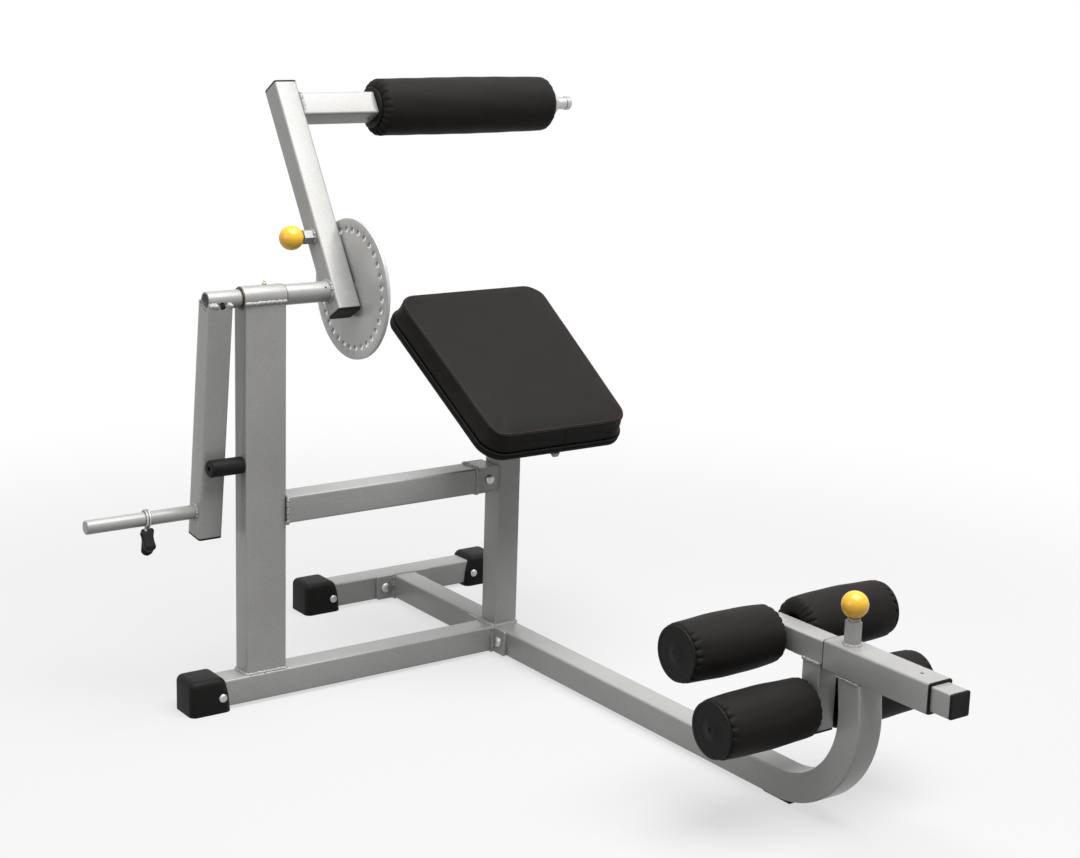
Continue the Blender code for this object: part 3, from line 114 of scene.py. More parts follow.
@dataclass(frozen=True)
class Layout:
    """Sizes, places and axes that several sub-assemblies share, as in the CAD source."""

    tube: float = 0.050
    wall: float = 0.0025
    tube_corner: float = 0.004
    arm_tube: float = 0.045
    plug_lip: float = 0.004
    floor: float = 0.006
    plate: float = 0.006
    upright_x: float = -0.524
    upright_width: float = 0.080
    pivot_z: float = 0.742
    shaft: float = 0.025
    hub_space: float = 0.0022
    weight_hub: float = 0.064
    arm_hub: float = 0.0888
    disc_clearance: float = 0.003
    disc: float = 0.006
    hole_circle: float = 0.1065
    boss_length: float = 0.014
    cross_reach: float = 0.3605
    cross_length: float = 0.155
    carriage_z: float = 0.280
    carriage_pin_y: float = -0.965
    carriage_tube: float = 0.040
    carriage_corner: float = 0.003
    barrel_flats: float = 0.0242
    arm_lean: float = math.radians(32.2)
    weight_lean: float = math.radians(6.7)
    tube_z: float = floor + tube / 2
    on_tube: float = floor + tube + GAP
    sleeve_left: float = upright_x - upright_width / 2 - 0.001
    sleeve_right: float = upright_x + upright_width / 2 + 0.001
    weight_hub_left: float = sleeve_left - hub_space - weight_hub
    weight_arm_x: float = weight_hub_left - 0.002 + arm_tube / 2
    arm_left: float = sleeve_right + hub_space + arm_hub + GAP
    arm_x: float = arm_left + arm_tube / 2
    disc_left: float = arm_left + arm_tube + disc_clearance
    cross_left: float = arm_left + arm_tube + GAP
    cross_right: float = cross_left + cross_length
    world: Matrix = Matrix.Translation((0.2845, 0.38735, 0.0))
    lever: Matrix = placed(world, (upright_x, 0, pivot_z))
    hang: Matrix = placed(lever, (weight_arm_x - upright_x, 0, 0), (weight_lean, 0, 0))
    arm: Matrix = placed(lever, (arm_x - upright_x, 0, 0), (-arm_lean, 0, 0))
    carriage: Matrix = placed(world, (0, carriage_pin_y, carriage_z))


SIZE = Layout()


def assign(target: object, **values: object) -> object:
    """Set attributes in the order given, and return their owner."""
    for key, value in values.items():
        setattr(target, key, value)
    return target


# Node tools


def operator(kind: str, flipped: bool = False) -> Callable[["Sock", object], "Sock"]:
    """A method of Sock that writes one Math node, with its operands flipped if told."""

    def write(sock: "Sock", other: object) -> "Sock":
        """Write the node."""
        return sock.nodes.math(kind, *((other, sock) if flipped else (sock, other)))

    return write


class Sock:
    """A node's output that writes Math nodes from Python expressions."""

    __add__, __radd__ = operator("ADD"), operator("ADD", True)
    __sub__, __rsub__ = operator("SUBTRACT"), operator("SUBTRACT", True)
    __mul__, __rmul__ = operator("MULTIPLY"), operator("MULTIPLY", True)

    def __init__(self, nodes: "Nodes", socket: bpy.types.NodeSocket | None) -> None:
        """Wrap a socket of a tree."""
        self.nodes = nodes
        self.socket = socket


class Nodes:
    """A node tree under construction, with one method that adds any node."""

    def __init__(self, tree: bpy.types.NodeTree) -> None:
        """Take the tree and empty it."""
        self.tree = tree
        tree.nodes.clear()

    def node(self, kind: str, inputs: dict | None = None, output: str | int = 0,
             **settings: object) -> Sock:
        """Add a node.

        Args:
            kind: The node's type name.
            inputs: Values, links or lists of links, by socket name or number.
            output: The output socket that is returned.
            **settings: Attributes, which are set before any socket.

        Returns:
            The chosen output, wrapped.
        """
        made = assign(self.tree.nodes.new(kind), **settings)
        for key, value in (inputs or {}).items():
            for item in value if isinstance(value, list) else [value]:
                if isinstance(item, Sock):
                    self.tree.links.new(item.socket, made.inputs[key])
                else:
                    made.inputs[key].default_value = item
        return Sock(self, made.outputs[output] if made.outputs else None)

    def math(self, operation: str, first: object, second: object) -> Sock:
        """One Math node on two values or sockets."""
        return self.node("ShaderNodeMath", {0: first, 1: second}, operation=operation)

    def seen(self) -> Sock:
        """1 for the rays that show a background: camera, glossy and transmission rays."""
        seen, *others = (self.node("ShaderNodeLightPath", output=f"Is {ray} Ray")
                         for ray in ("Camera", "Glossy", "Transmission"))
        for other in others:
            seen = self.math("MAXIMUM", seen, other)
        return seen

    def either(self, share: Sock, first: Sock, second: Sock) -> Sock:
        """A mix of two shaders."""
        return self.node("ShaderNodeMixShader", {0: share, 1: first, 2: second})


class Shader(Nodes):
    """A material under construction, with patterns on Object coordinates."""

    def __init__(self, name: str) -> None:
        """Start an empty material."""
        self.material = bpy.data.materials.new(name)
        self.material.use_nodes = True
        super().__init__(self.material.node_tree)
        self.coords = self.node("ShaderNodeTexCoord", output="Object")

    def noise(self, scale: float, detail: float = 3.0, rough: float = 0.55,
              vector: Sock | None = None) -> Sock:
        """Noise from 0 to 1 on object coordinates, or on the given vector."""
        return self.node("ShaderNodeTexNoise", {
            "Vector": vector or self.coords, "Scale": scale, "Detail": detail,
            "Roughness": rough}, "Fac")

    def cells(self, scale: float, feature: str = "F1") -> Sock:
        """Distance to the cells of a Voronoi pattern."""
        return self.node("ShaderNodeTexVoronoi", {"Vector": self.coords, "Scale": scale},
                         "Distance", feature=feature)

    def stretched(self, scale: Point) -> Sock:
        """Object coordinates scaled by a different amount along each axis."""
        return self.node("ShaderNodeMapping", {"Vector": self.coords, "Scale": scale})

    def fade(self, value: Sock, low: float, high: float) -> Sock:
        """The value, clamped to low and high and spread from 0 to 1."""
        return self.node("ShaderNodeMapRange", {
            "Value": value, "From Min": low, "From Max": high, "To Min": 0.0, "To Max": 1.0},
            interpolation_type="SMOOTHSTEP")

    def tint(self, share: Sock, dark: Point | Sock, light: Point) -> Sock:
        """A colour between two, by a share. The first may be another pattern's colour."""
        below = dark if isinstance(dark, Sock) else (*dark, 1.0)
        return self.node("ShaderNodeMix", {0: share, 6: below, 7: (*light, 1.0)}, 2,
                         data_type="RGBA")

    def bump(self, height: Sock, distance: float, strength: float = 1.0,
             normal: Sock | None = None) -> Sock:
        """A bumped normal. The distance is the height's full depth in metres."""
        below = {"Normal": normal} if normal else {}
        return self.node("ShaderNodeBump", {"Height": height, "Distance": distance,
                                            "Strength": strength, **below})

    def close(self, shader: Sock) -> Material:
        """Link a shader to the material's output and return the material."""
        self.node("ShaderNodeOutputMaterial", {"Surface": shader})
        return self.material

    def surface(self, **inputs: object) -> Material:
        """Close the material with a Principled shader's sockets, with _ for a space."""
        named = {key.replace("_", " "): value for key, value in inputs.items()}
        return self.close(self.node("ShaderNodeBsdfPrincipled", named, "BSDF"))


# Finishes


@dataclass(frozen=True)
class SilverPaint:
    """Silver powder coat: fine metal flake, a faint orange peel and light handling marks."""

    name: str = "silver_powder_coat"
    dark: Point = (0.205, 0.202, 0.194)
    light: Point = (0.375, 0.372, 0.360)
    rough: float = 0.40
    coat: float = 0.36
    scuff: Point = (0.19, 0.19, 0.185)
    flake_scale: float = 2600.0
    flake_depth: float = 0.00003
    speckle_scale: float = 620.0
    cloud_scale: float = 9.0
    scuff_scale: float = 70.0
    peel_scale: float = 420.0
    peel_depth: float = 0.00010

    def build(self) -> Material:
        """Make the material."""
        make = Shader(self.name)
        flake = make.fade(make.cells(self.flake_scale), 0.25, 0.75)
        speckle = make.fade(make.noise(self.speckle_scale, 2.0, 0.7), 0.34, 0.66)
        cloud = make.noise(self.cloud_scale, 2.0)
        colour = make.tint(flake * 0.25 + speckle * 0.35 + cloud * 0.40, self.dark, self.light)
        lengthwise = make.stretched((1.0, 1.0, 0.22))
        scuffs = make.fade(make.noise(self.scuff_scale, 6.0, 0.7, lengthwise), 0.66, 0.80)
        rough = self.rough + (flake - 0.5) * 0.16 + scuffs * 0.12 + (cloud - 0.5) * 0.06
        peel = make.bump(make.noise(self.peel_scale, 2.0), self.peel_depth, 0.6,
                         make.bump(flake, self.flake_depth, 0.6))
        return make.surface(
            Base_Color=make.tint(scuffs * 0.25, colour, self.scuff), Roughness=rough,
            Metallic=0.14, Normal=peel, Specular_IOR_Level=0.4, Coat_Weight=self.coat,
            Coat_Roughness=0.22)


@dataclass(frozen=True)
class TurnedSteel:
    """Bright turned steel with fine rings along one axis."""

    name: str = "turned_steel"
    rings: Point = (3000.0, 40.0, 40.0)
    colour: Point = (0.50, 0.50, 0.49)
    rough: float = 0.30
    ring_depth: float = 0.00004
    wear_scale: float = 36.0

    def build(self) -> Material:
        """Make the material."""
        make = Shader(self.name)
        rings = make.noise(1.0, 2.0, 0.6, make.stretched(self.rings))
        dull = make.fade(make.noise(self.wear_scale, 4.0), 0.35, 0.75)
        shade = tuple(0.72 * part for part in self.colour)
        return make.surface(Base_Color=make.tint(dull * 0.6 + rings * 0.4, self.colour, shade),
                            Metallic=1.0, Roughness=self.rough + rings * 0.14 + dull * 0.10,
                            Normal=make.bump(rings, self.ring_depth, 0.5))


@dataclass(frozen=True)
class MouldedBlack:
    """Satin black moulding with a fine eroded texture and paler rubbed patches."""

    name: str
    rubbed: Point
    rough: float
    grain: float
    depth: float
    sheen: float
    colour: Point = (0.009, 0.009, 0.0085)
    wear_scale: float = 26.0

    def build(self) -> Material:
        """Make the material."""
        make = Shader(self.name)
        grain = make.noise(self.grain, 3.0, 0.65)
        worn = make.fade(make.noise(self.wear_scale, 5.0, 0.6), 0.45, 0.80)
        return make.surface(Base_Color=make.tint(worn * 0.7 + grain * 0.3, self.colour,
                                                 self.rubbed),
                            Roughness=self.rough + (grain - 0.5) * 0.18 + worn * 0.08,
                            Normal=make.bump(grain, self.depth, 0.8),
                            Specular_IOR_Level=self.sheen)


@dataclass(frozen=True)
class Vinyl:
    """Black upholstery vinyl: an irregular leather grain, soft creases and a low sheen."""

    name: str = "upholstery_vinyl"
    dark: Point = (0.0090, 0.0084, 0.0077)
    light: Point = (0.0180, 0.0168, 0.0156)
    rough: float = 0.50
    crease: float = 0.0
    grain_scale: float = 900.0
    pebble_scale: float = 1500.0
    grain_depth: float = 0.00012
    cloud_scale: float = 14.0
    crease_scale: float = 55.0
    sheen: float = 0.06

    def build(self) -> Material:
        """Make the material."""
        make = Shader(self.name)
        grain = make.fade(make.cells(self.grain_scale, "DISTANCE_TO_EDGE"), 0.02, 0.20)
        cloud = make.noise(self.cloud_scale, 3.0)
        normal = make.bump(grain * 0.8 + make.noise(self.pebble_scale, 2.0) * 0.2,
                           self.grain_depth, 0.7)
        if self.crease:
            normal = make.bump(make.noise(self.crease_scale, 3.0, 0.5), self.crease, 0.5,
                               normal)
        return make.surface(
            Base_Color=make.tint(cloud * 0.6 + grain * 0.4, self.dark, self.light),
            Roughness=self.rough + (1 - grain) * 0.12 + (cloud - 0.5) * 0.08, Normal=normal,
            Specular_IOR_Level=self.sheen)


@dataclass(frozen=True)
class YellowKnob:
    """Glossy yellow moulded plastic with a little flow variation."""

    dark: Point = (0.74, 0.40, 0.026)
    light: Point = (0.83, 0.49, 0.040)
    flow_scale: float = 30.0
    haze_scale: float = 300.0
    haze_depth: float = 0.00003

    def build(self) -> Material:
        """Make the material."""
        make = Shader("yellow_knob_plastic")
        haze = make.noise(self.haze_scale, 3.0)
        flow = make.noise(self.flow_scale, 3.0)
        return make.surface(Base_Color=make.tint(flow, self.dark, self.light),
                            Roughness=0.20 + haze * 0.10, Specular_IOR_Level=0.45,
                            Normal=make.bump(haze, self.haze_depth, 0.5))


@dataclass(frozen=True)
class Bronze:
    """Sintered bronze with a random pore tone. Its default colours are very dark: painted shade
    for the bushes' rims in the narrow gaps between sleeve and hubs.
    """

    name: str = "painted_shade_bronze"
    # Painted shade: these dark defaults stand in for the shade in the narrow gaps where the bushes
    # show.
    dark: Point = (0.050, 0.043, 0.030)
    light: Point = (0.14, 0.12, 0.085)
    pore_scale: float = 900.0
    pore_depth: float = 0.00005

    def build(self) -> Material:
        """Make the material."""
        make = Shader(self.name)
        pores = make.noise(self.pore_scale, 3.0, 0.7)
        return make.surface(Base_Color=make.tint(pores, self.dark, self.light), Metallic=1.0,
                            Roughness=0.32 + pores * 0.2,
                            Normal=make.bump(pores, self.pore_depth))


@dataclass(frozen=True)
class StudioFloor:
    """A pale floor that meets a white background and keeps the machine's shadow."""

    colour: Point = (0.42, 0.42, 0.42)
    bounce: Point = (0.12, 0.12, 0.12)
    glow: float = 0.64
    fade_from: float = 1.2
    fade_to: float = 2.6
    dust_scale: float = 8.0

    def build(self) -> Material:
        """Make the material."""
        make = Shader("studio_floor")
        rough = 0.85 + (make.noise(self.dust_scale) - 0.5) * 0.05
        white = make.node("ShaderNodeEmission", {"Color": (1, 1, 1, 1)}, "Emission")
        matt, dim = (make.node("ShaderNodeBsdfPrincipled", {
            "Base Color": (*colour, 1.0), "Roughness": rough}, "BSDF")
            for colour in (self.colour, self.bounce))
        distance = make.node("ShaderNodeVectorMath", {0: make.coords}, "Value",
                             operation="LENGTH")
        far = make.fade(distance, self.fade_from, self.fade_to)
        shown = make.either(self.glow + far * (1 - self.glow), matt, white)
        return make.close(make.either(make.seen(), dim, shown))


@dataclass(frozen=True)
class Look:
    """A finish and the record's slot that it shows."""

    material: Material
    slot: Slot


class Finishes:
    """Every finish of the machine, built once."""

    def __init__(self) -> None:
        """Build the materials."""
        fine = (300.0, 300.0, 300.0)
        self.paint = Look(SilverPaint().build(), Slot.PAINT)
        # A lighter copy of the silver paint: painted light on the hole disc, which has the same
        # paint as the frame.
        self.bright = Look(SilverPaint("painted_light_powder_coat", (0.36, 0.36, 0.35),
                                       (0.52, 0.52, 0.51), 0.34).build(), Slot.PAINT)
        self.steel = Look(TurnedSteel().build(), Slot.STEEL)
        self.pin = Look(TurnedSteel("pin_steel", fine, (0.60, 0.60, 0.59)).build(), Slot.STEEL)
        self.zinc = Look(TurnedSteel("zinc_plate", (260.0, 260.0, 260.0), (0.47, 0.48, 0.48),
                                     0.34).build(), Slot.ZINC)
        self.spring = Look(self.zinc.material, Slot.STEEL)
        self.rubber = Look(MouldedBlack("moulded_rubber", (0.019, 0.019, 0.018), 0.48, 700.0,
                                        0.00012, 0.08).build(), Slot.RUBBER)
        self.plastic = Look(MouldedBlack("moulded_plastic", (0.017, 0.017, 0.016), 0.40,
                                         1100.0, 0.00006, 0.09).build(), Slot.PLASTIC)
        self.vinyl = Look(Vinyl().build(), Slot.VINYL)
        self.cover = Look(Vinyl("roller_cover_vinyl", (0.0090, 0.0081, 0.0075),
                                (0.0185, 0.0165, 0.0153), 0.52, 0.0004).build(), Slot.VINYL)
        self.thread = Look(Vinyl("sewing_thread", (0.075, 0.038, 0.028),
                                 (0.130, 0.070, 0.052), 0.6).build(), Slot.VINYL)
        self.yellow = Look(YellowKnob().build(), Slot.YELLOW)
        # The bushes' bronze is kept very dark as painted shade for the gaps between sleeve and
        # hubs.
        self.bronze = Look(Bronze().build(), Slot.BRONZE)
        self.brass = Look(Bronze("nipple_brass", (0.34, 0.30, 0.21),
                                 (0.52, 0.47, 0.35)).build(), Slot.BRONZE)
        self.floor = StudioFloor().build()


# Mesh tools


def linked(name: str, data: bpy.types.ID, matrix: Matrix | None = None) -> Object:
    """A new object in the scene, at the given matrix."""
    obj = bpy.data.objects.new(name, data)
    bpy.context.scene.collection.objects.link(obj)
    if matrix is not None:
        obj.matrix_world = matrix
    return obj


def modified(obj: Object, kind: str, **settings: object) -> Object:
    """The object with one more modifier."""
    assign(obj.modifiers.new(kind, kind), **settings)
    return obj


def evaluated(obj: Object, weld: bool = True) -> Mesh:
    """The object's mesh with its modifiers applied. The object goes.

    Args:
        obj: An object of any type that gives a mesh.
        weld: Whether points that coincide are merged and faces turned outward.

    Returns:
        A plain mesh in the object's own axes.
    """
    bpy.context.view_layer.update()
    graph = bpy.context.evaluated_depsgraph_get()
    mesh = bpy.data.meshes.new_from_object(obj.evaluated_get(graph))
    bpy.data.objects.remove(obj)
    if weld:
        work = bmesh.new()
        work.from_mesh(mesh)
        bmesh.ops.remove_doubles(work, verts=work.verts, dist=MERGE)
        bmesh.ops.recalc_face_normals(work, faces=work.faces)
        work.to_mesh(mesh)
        work.free()
    return mesh


def poly_spline(curve: bpy.types.Curve, points: list, cyclic: bool,
                weight: float = 1.0) -> None:
    """Add a poly spline through 2D or 3D points, with one radius for all of them."""
    spline = curve.splines.new("POLY")
    spline.points.add(len(points) - 1)
    for knot, point in zip(spline.points, points):
        knot.co = (*point, *(0.0,) * (3 - len(point)), 1.0)
        knot.radius = weight
    spline.use_cyclic_u = cyclic


def curve_mesh(paths: list, cyclic: bool, dimensions: str, **settings: object) -> Mesh:
    """The mesh of one curve with a poly spline for each path."""
    curve = assign(bpy.data.curves.new("path", "CURVE"), dimensions=dimensions, **settings)
    for path in paths:
        poly_spline(curve, path, cyclic)
    return evaluated(linked("path", curve))


def outline_mesh(loops: list[Loop], thickness: float) -> Mesh:
    """A flat outline with any holes, extruded along Z."""
    return curve_mesh(loops, True, "2D", fill_mode="BOTH", extrude=thickness / 2)


def swept_mesh(path: Loop, section: Loop) -> Mesh:
    """A closed section swept along a flat path, with filled ends."""
    outline = bpy.data.curves.new("section", "CURVE")
    poly_spline(outline, section, True)
    guide = linked("section", outline)
    mesh = curve_mesh([path], False, "2D", bevel_mode="OBJECT", bevel_object=guide,
                      use_fill_caps=True)
    bpy.data.objects.remove(guide)
    return mesh


def wire_mesh(points: list[Point], diameter: float, cyclic: bool = False) -> Mesh:
    """A round wire along 3D points."""
    return curve_mesh([points], cyclic, "3D", bevel_depth=diameter / 2, bevel_resolution=3,
                      use_fill_caps=True)


def turned_mesh(profile: Loop, steps: int = ROUND, closed: bool = False) -> Mesh:
    """A solid turned about Z from its (radius, height) profile."""
    mesh = bpy.data.meshes.new("turned")
    edges = [(index, index + 1) for index in range(len(profile) - 1)]
    if closed:
        edges.append((len(profile) - 1, 0))
    mesh.from_pydata([(radius, 0.0, height) for radius, height in profile], edges, [])
    return evaluated(modified(linked("turned", mesh), "SCREW", steps=steps, render_steps=steps,
                              use_merge_vertices=True, merge_threshold=MERGE))


def arc(centre: tuple[float, float], radius: float, start: float, end: float,
        steps: int = 5) -> Loop:
    """Points on an arc, from one angle to another in degrees."""
    turns = [math.radians(start + (end - start) * step / steps) for step in range(steps + 1)]
    return [(centre[0] + radius * math.cos(a), centre[1] + radius * math.sin(a)) for a in turns]


def circle(diameter: float, steps: int) -> Loop:
    """Points round a circle."""
    return arc((0.0, 0.0), diameter / 2, 0, 360 * (steps - 1) / steps, steps - 1)


def rim(radius: float, half: float, edge: float) -> Loop:
    """The rounded edges of a turned side, from its upper end to its lower one."""
    return (arc((radius - edge, half - edge), edge, 90, 0)
            + arc((radius - edge, edge - half), edge, 0, -90))


def rod_mesh(diameter: float, length: float, edge: float = 0.0, steps: int = ROUND) -> Mesh:
    """A round bar centred on Z, with rounded end edges."""
    radius, half = diameter / 2, length / 2
    side = rim(radius, half, edge) if edge else [(radius, half), (radius, -half)]
    return turned_mesh([(0.0, half), *side, (0.0, -half)], steps)


def drill_mesh(diameter: float, depth: float) -> Mesh:
    """A sharp-edged bar for cutting a round hole."""
    return rod_mesh(diameter, depth, 0.0, FINE)


def ring_mesh(outer: float, bore: float, length: float, edge: float = 0.0008) -> Mesh:
    """A round collar with a bore, centred on Z, with its edges broken."""
    half, inner, bevel = length / 2, bore / 2, edge / 2
    return turned_mesh([(inner, half - bevel), (inner + bevel, half), *rim(outer / 2, half, edge),
                        (inner + bevel, -half), (inner, bevel - half)], closed=True)


def rounded_rectangle(width: float, depth: float, radius: float, steps: int = CORNER,
                      side_points: int = 0) -> Loop:
    """Points anticlockwise round a rectangle.

    Args:
        width: Its size along X.
        depth: Its size along Y.
        radius: The corners' radius.
        steps: How many steps a corner has.
        side_points: How many more points each straight side has.

    Returns:
        The points, from the right end of the upper right corner.
    """
    points: Loop = []
    x, y = width / 2 - radius, depth / 2 - radius
    centres = ((x, y), (-x, y), (-x, -y), (x, -y))
    for index, centre in enumerate(centres):
        angle = 90 * (index + 1)
        points += arc(centre, radius, 90 * index, angle, steps)
        last = Vector(points[-1])
        following = Vector(arc(centres[(index + 1) % 4], radius, angle, angle, 1)[0])
        points += [tuple(last.lerp(following, (share + 1) / (side_points + 1)))
                   for share in range(side_points)]
    return points


def square(width: float, radius: float = SIZE.tube_corner, steps: int = CORNER) -> Loop:
    """Points round a square with rounded corners, by default a tube's."""
    return rounded_rectangle(width, width, radius, steps)


def lofted_mesh(rings: list[tuple[Loop, float]]) -> Mesh:
    """A closed skin through rings of equal point counts, each at its own height."""
    work = bmesh.new()
    rows = [[work.verts.new((*point, height)) for point in loop] for loop, height in rings]
    for lower, upper in zip(rows, rows[1:]):
        for index in range(len(lower)):
            after = (index + 1) % len(lower)
            work.faces.new((lower[index], lower[after], upper[after], upper[index]))
    work.faces.new(rows[0][::-1])
    work.faces.new(rows[-1])
    bmesh.ops.recalc_face_normals(work, faces=work.faces)
    mesh = bpy.data.meshes.new("loft")
    work.to_mesh(mesh)
    work.free()
    return mesh


def soft_plate(width: float, depth: float, thickness: float, corner: float,
               edge: float = 0.0008) -> Mesh:
    """A plate with rounded corners and softened edges, centred on the origin."""
    half = thickness / 2
    edge = min(edge, half * 0.9)
    sides = arc((-edge, edge - half), edge, -90, 0, 3) + arc((-edge, half - edge), edge, 0, 90, 3)
    return lofted_mesh([(rounded_rectangle(width + 2 * reach, depth + 2 * reach,
                                           corner + reach), height) for reach, height in sides])


def tube_mesh(width: float, length: float, corner: float = SIZE.tube_corner,
              depth: float | None = None) -> Mesh:
    """A hollow rectangular tube along Z, square unless its depth is given."""
    depth = depth or width
    drawn = 2 * SIZE.wall
    inner = rounded_rectangle(width - drawn, depth - drawn, max(corner - SIZE.wall, 0.001), 3)
    return outline_mesh([rounded_rectangle(width, depth, corner), inner], length)


def plug_mesh(width: float, corner: float = SIZE.tube_corner) -> Mesh:
    """A square tube plug with a domed, softly edged lip above Z = 0."""
    inner = square(width - 2 * SIZE.wall - 2 * GAP, corner * 0.6)
    spigot, edge, lip = 0.012, 0.0016, SIZE.plug_lip
    border, hollow = 0.005, 0.0003
    sides = [(0.0, 0.0)] + arc((-edge, lip - edge), edge, 0, 90, 4)
    return lofted_mesh([(inner, -spigot), (inner, 0.0)]
                       + [(square(width + 2 * reach, corner), height) for reach, height in sides]
                       + [(square(width - 2 * border, corner), lip - hollow)])


def hex_mesh(flats: float, length: float, edge: float = 0.0006) -> Mesh:
    """A hexagonal prism centred on Z, with broken end edges and a flat facing X."""
    half = length / 2
    return lofted_mesh([(circle((flats - 2 * drawn) / math.cos(math.pi / 6), 6), height)
                        for drawn, height in ((edge, -half), (0, edge - half),
                                              (0, half - edge), (edge, half))])


def dome_bolt_mesh(head: float, shank: float, length: float, dome: float) -> Mesh:
    """A dome-head bolt: the head sits on Z = 0 and the shank goes down."""
    radius, brim = head / 2, 0.0012
    profile = [(radius * math.sin(a), brim + dome * math.cos(a))
               for a in (math.pi / 2 * step / 10 for step in range(11))]
    profile += [(radius, 0.0), (shank / 2, 0.0), (shank / 2, -length), (0.0, -length)]
    return turned_mesh(profile, FINE)


def knob_mesh(diameter: float, rod: float) -> Mesh:
    """A ball knob centred on the origin, with a flat and a socket at its lower end."""
    radius, socket = diameter / 2, rod / 2 + GAP
    profile = [(radius * math.sin(a), radius * math.cos(a))
               for a in ((math.pi - KNOB_FLAT) * step / 40 for step in range(41))]
    bottom = -radius * math.cos(KNOB_FLAT)
    roof = bottom + KNOB_SOCKET
    return turned_mesh(profile + [(socket, bottom), (socket, roof), (0.0, roof)])


def reshaped(obj: Object, operation: str, mesh: Mesh, matrix: Matrix) -> Object:
    """The object after one exact Boolean with a mesh at a place in the row frame."""
    tool = linked("tool", mesh, matrix)
    world = obj.matrix_world.copy()
    result = evaluated(modified(obj, "BOOLEAN", operation=operation, solver="EXACT",
                                object=tool))
    bpy.data.objects.remove(tool)
    return linked("shaped", result, world)


def points_of(mesh: Mesh) -> np.ndarray:
    """The mesh's points as rows of an array."""
    points = np.empty(len(mesh.vertices) * 3)
    mesh.vertices.foreach_get("co", points)
    return points.reshape(-1, 3)


def move_points(mesh: Mesh, points: np.ndarray) -> None:
    """Put the mesh's points where the array says."""
    mesh.vertices.foreach_set("co", points.ravel())
    mesh.update()


def filled(mesh: Mesh, held: np.ndarray, pressure: float, cap: float, bend: float = 2.0,
           frames: int = 20) -> Mesh:
    """A soft form after a short cloth simulation under inner pressure.

    Args:
        mesh: The closed blank.
        held: Which of its points stay where they are.
        pressure: The cloth's inner pressure.
        cap: The farthest that a point may move.
        bend: The cloth's stiffness in bending.
        frames: How long the simulation runs.

    Returns:
        The filled mesh, once subdivided.
    """
    rest = points_of(mesh)
    obj = linked("filling", mesh)
    group = obj.vertex_groups.new(name="held")
    group.add([int(index) for index in np.flatnonzero(held)], 1.0, "REPLACE")
    cloth = obj.modifiers.new("Cloth", "CLOTH")
    assign(cloth.settings, quality=4, use_pressure=True, uniform_pressure_force=pressure,
           bending_stiffness=bend, vertex_group_mass="held")
    cloth.settings.effector_weights.gravity = 0
    assign(cloth.point_cache, frame_start=1, frame_end=frames)
    for number in range(1, frames + 1):
        bpy.context.scene.frame_set(number)
    graph = bpy.context.evaluated_depsgraph_get()
    step = points_of(obj.evaluated_get(graph).to_mesh()) - rest
    reach = np.linalg.norm(step, axis=1, keepdims=True)
    LOG.info("filled %d points by up to %.1f mm", len(rest), 1000 * reach.max())
    bpy.context.scene.frame_set(1)
    bpy.data.objects.remove(obj)
    move_points(mesh, rest + step * np.minimum(1.0, cap / np.maximum(reach, 1e-9)))
    return evaluated(modified(linked("filled", mesh), "SUBSURF", levels=1, render_levels=1))


@dataclass
class Part:
    """One visible piece in the making: its mesh, its place and what it stands for."""

    name: str
    mesh: Mesh
    matrix: Matrix
    body: str
    look: Look
    replaces: tuple[str, ...] = ()
    smooth: float = SMOOTH_ANGLE
    work: Object | None = None

    def __post_init__(self) -> None:
        """Put the mesh in its place."""
        self.work = linked("blank", self.mesh, self.matrix)

    def cut(self, mesh: Mesh, matrix: Matrix, operation: str = "DIFFERENCE") -> "Part":
        """Cut a mesh away, or weld it on by UNION."""
        self.work = reshaped(self.work, operation, mesh, matrix)
        return self

    def beside(self, mesh: Mesh, matrix: Matrix) -> "Part":
        """Add a mesh to the piece without joining the surfaces."""
        work = bmesh.new()
        work.from_mesh(self.work.data)
        mesh.transform(self.work.matrix_world.inverted() @ matrix)
        work.from_mesh(mesh)
        work.to_mesh(self.work.data)
        work.free()
        return self

    def done(self) -> Object:
        """Finish the piece.

        Returns:
            The object, at the origin, with its place in its mesh, riding on its body.
        """
        mesh = self.work.data
        mesh.transform(self.work.matrix_world)
        bpy.data.objects.remove(self.work)
        mesh.shade_smooth()
        mesh.set_sharp_from_angle(angle=self.smooth)
        mesh.materials.clear()
        mesh.materials.append(self.look.material)
        mesh.name = self.name
        obj = linked(self.name, mesh)
        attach(obj, self.body)
        if self.replaces:
            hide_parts(*self.replaces)
        LOG.info("%s: %d faces", self.name, len(mesh.polygons))
        return obj


# Repeats


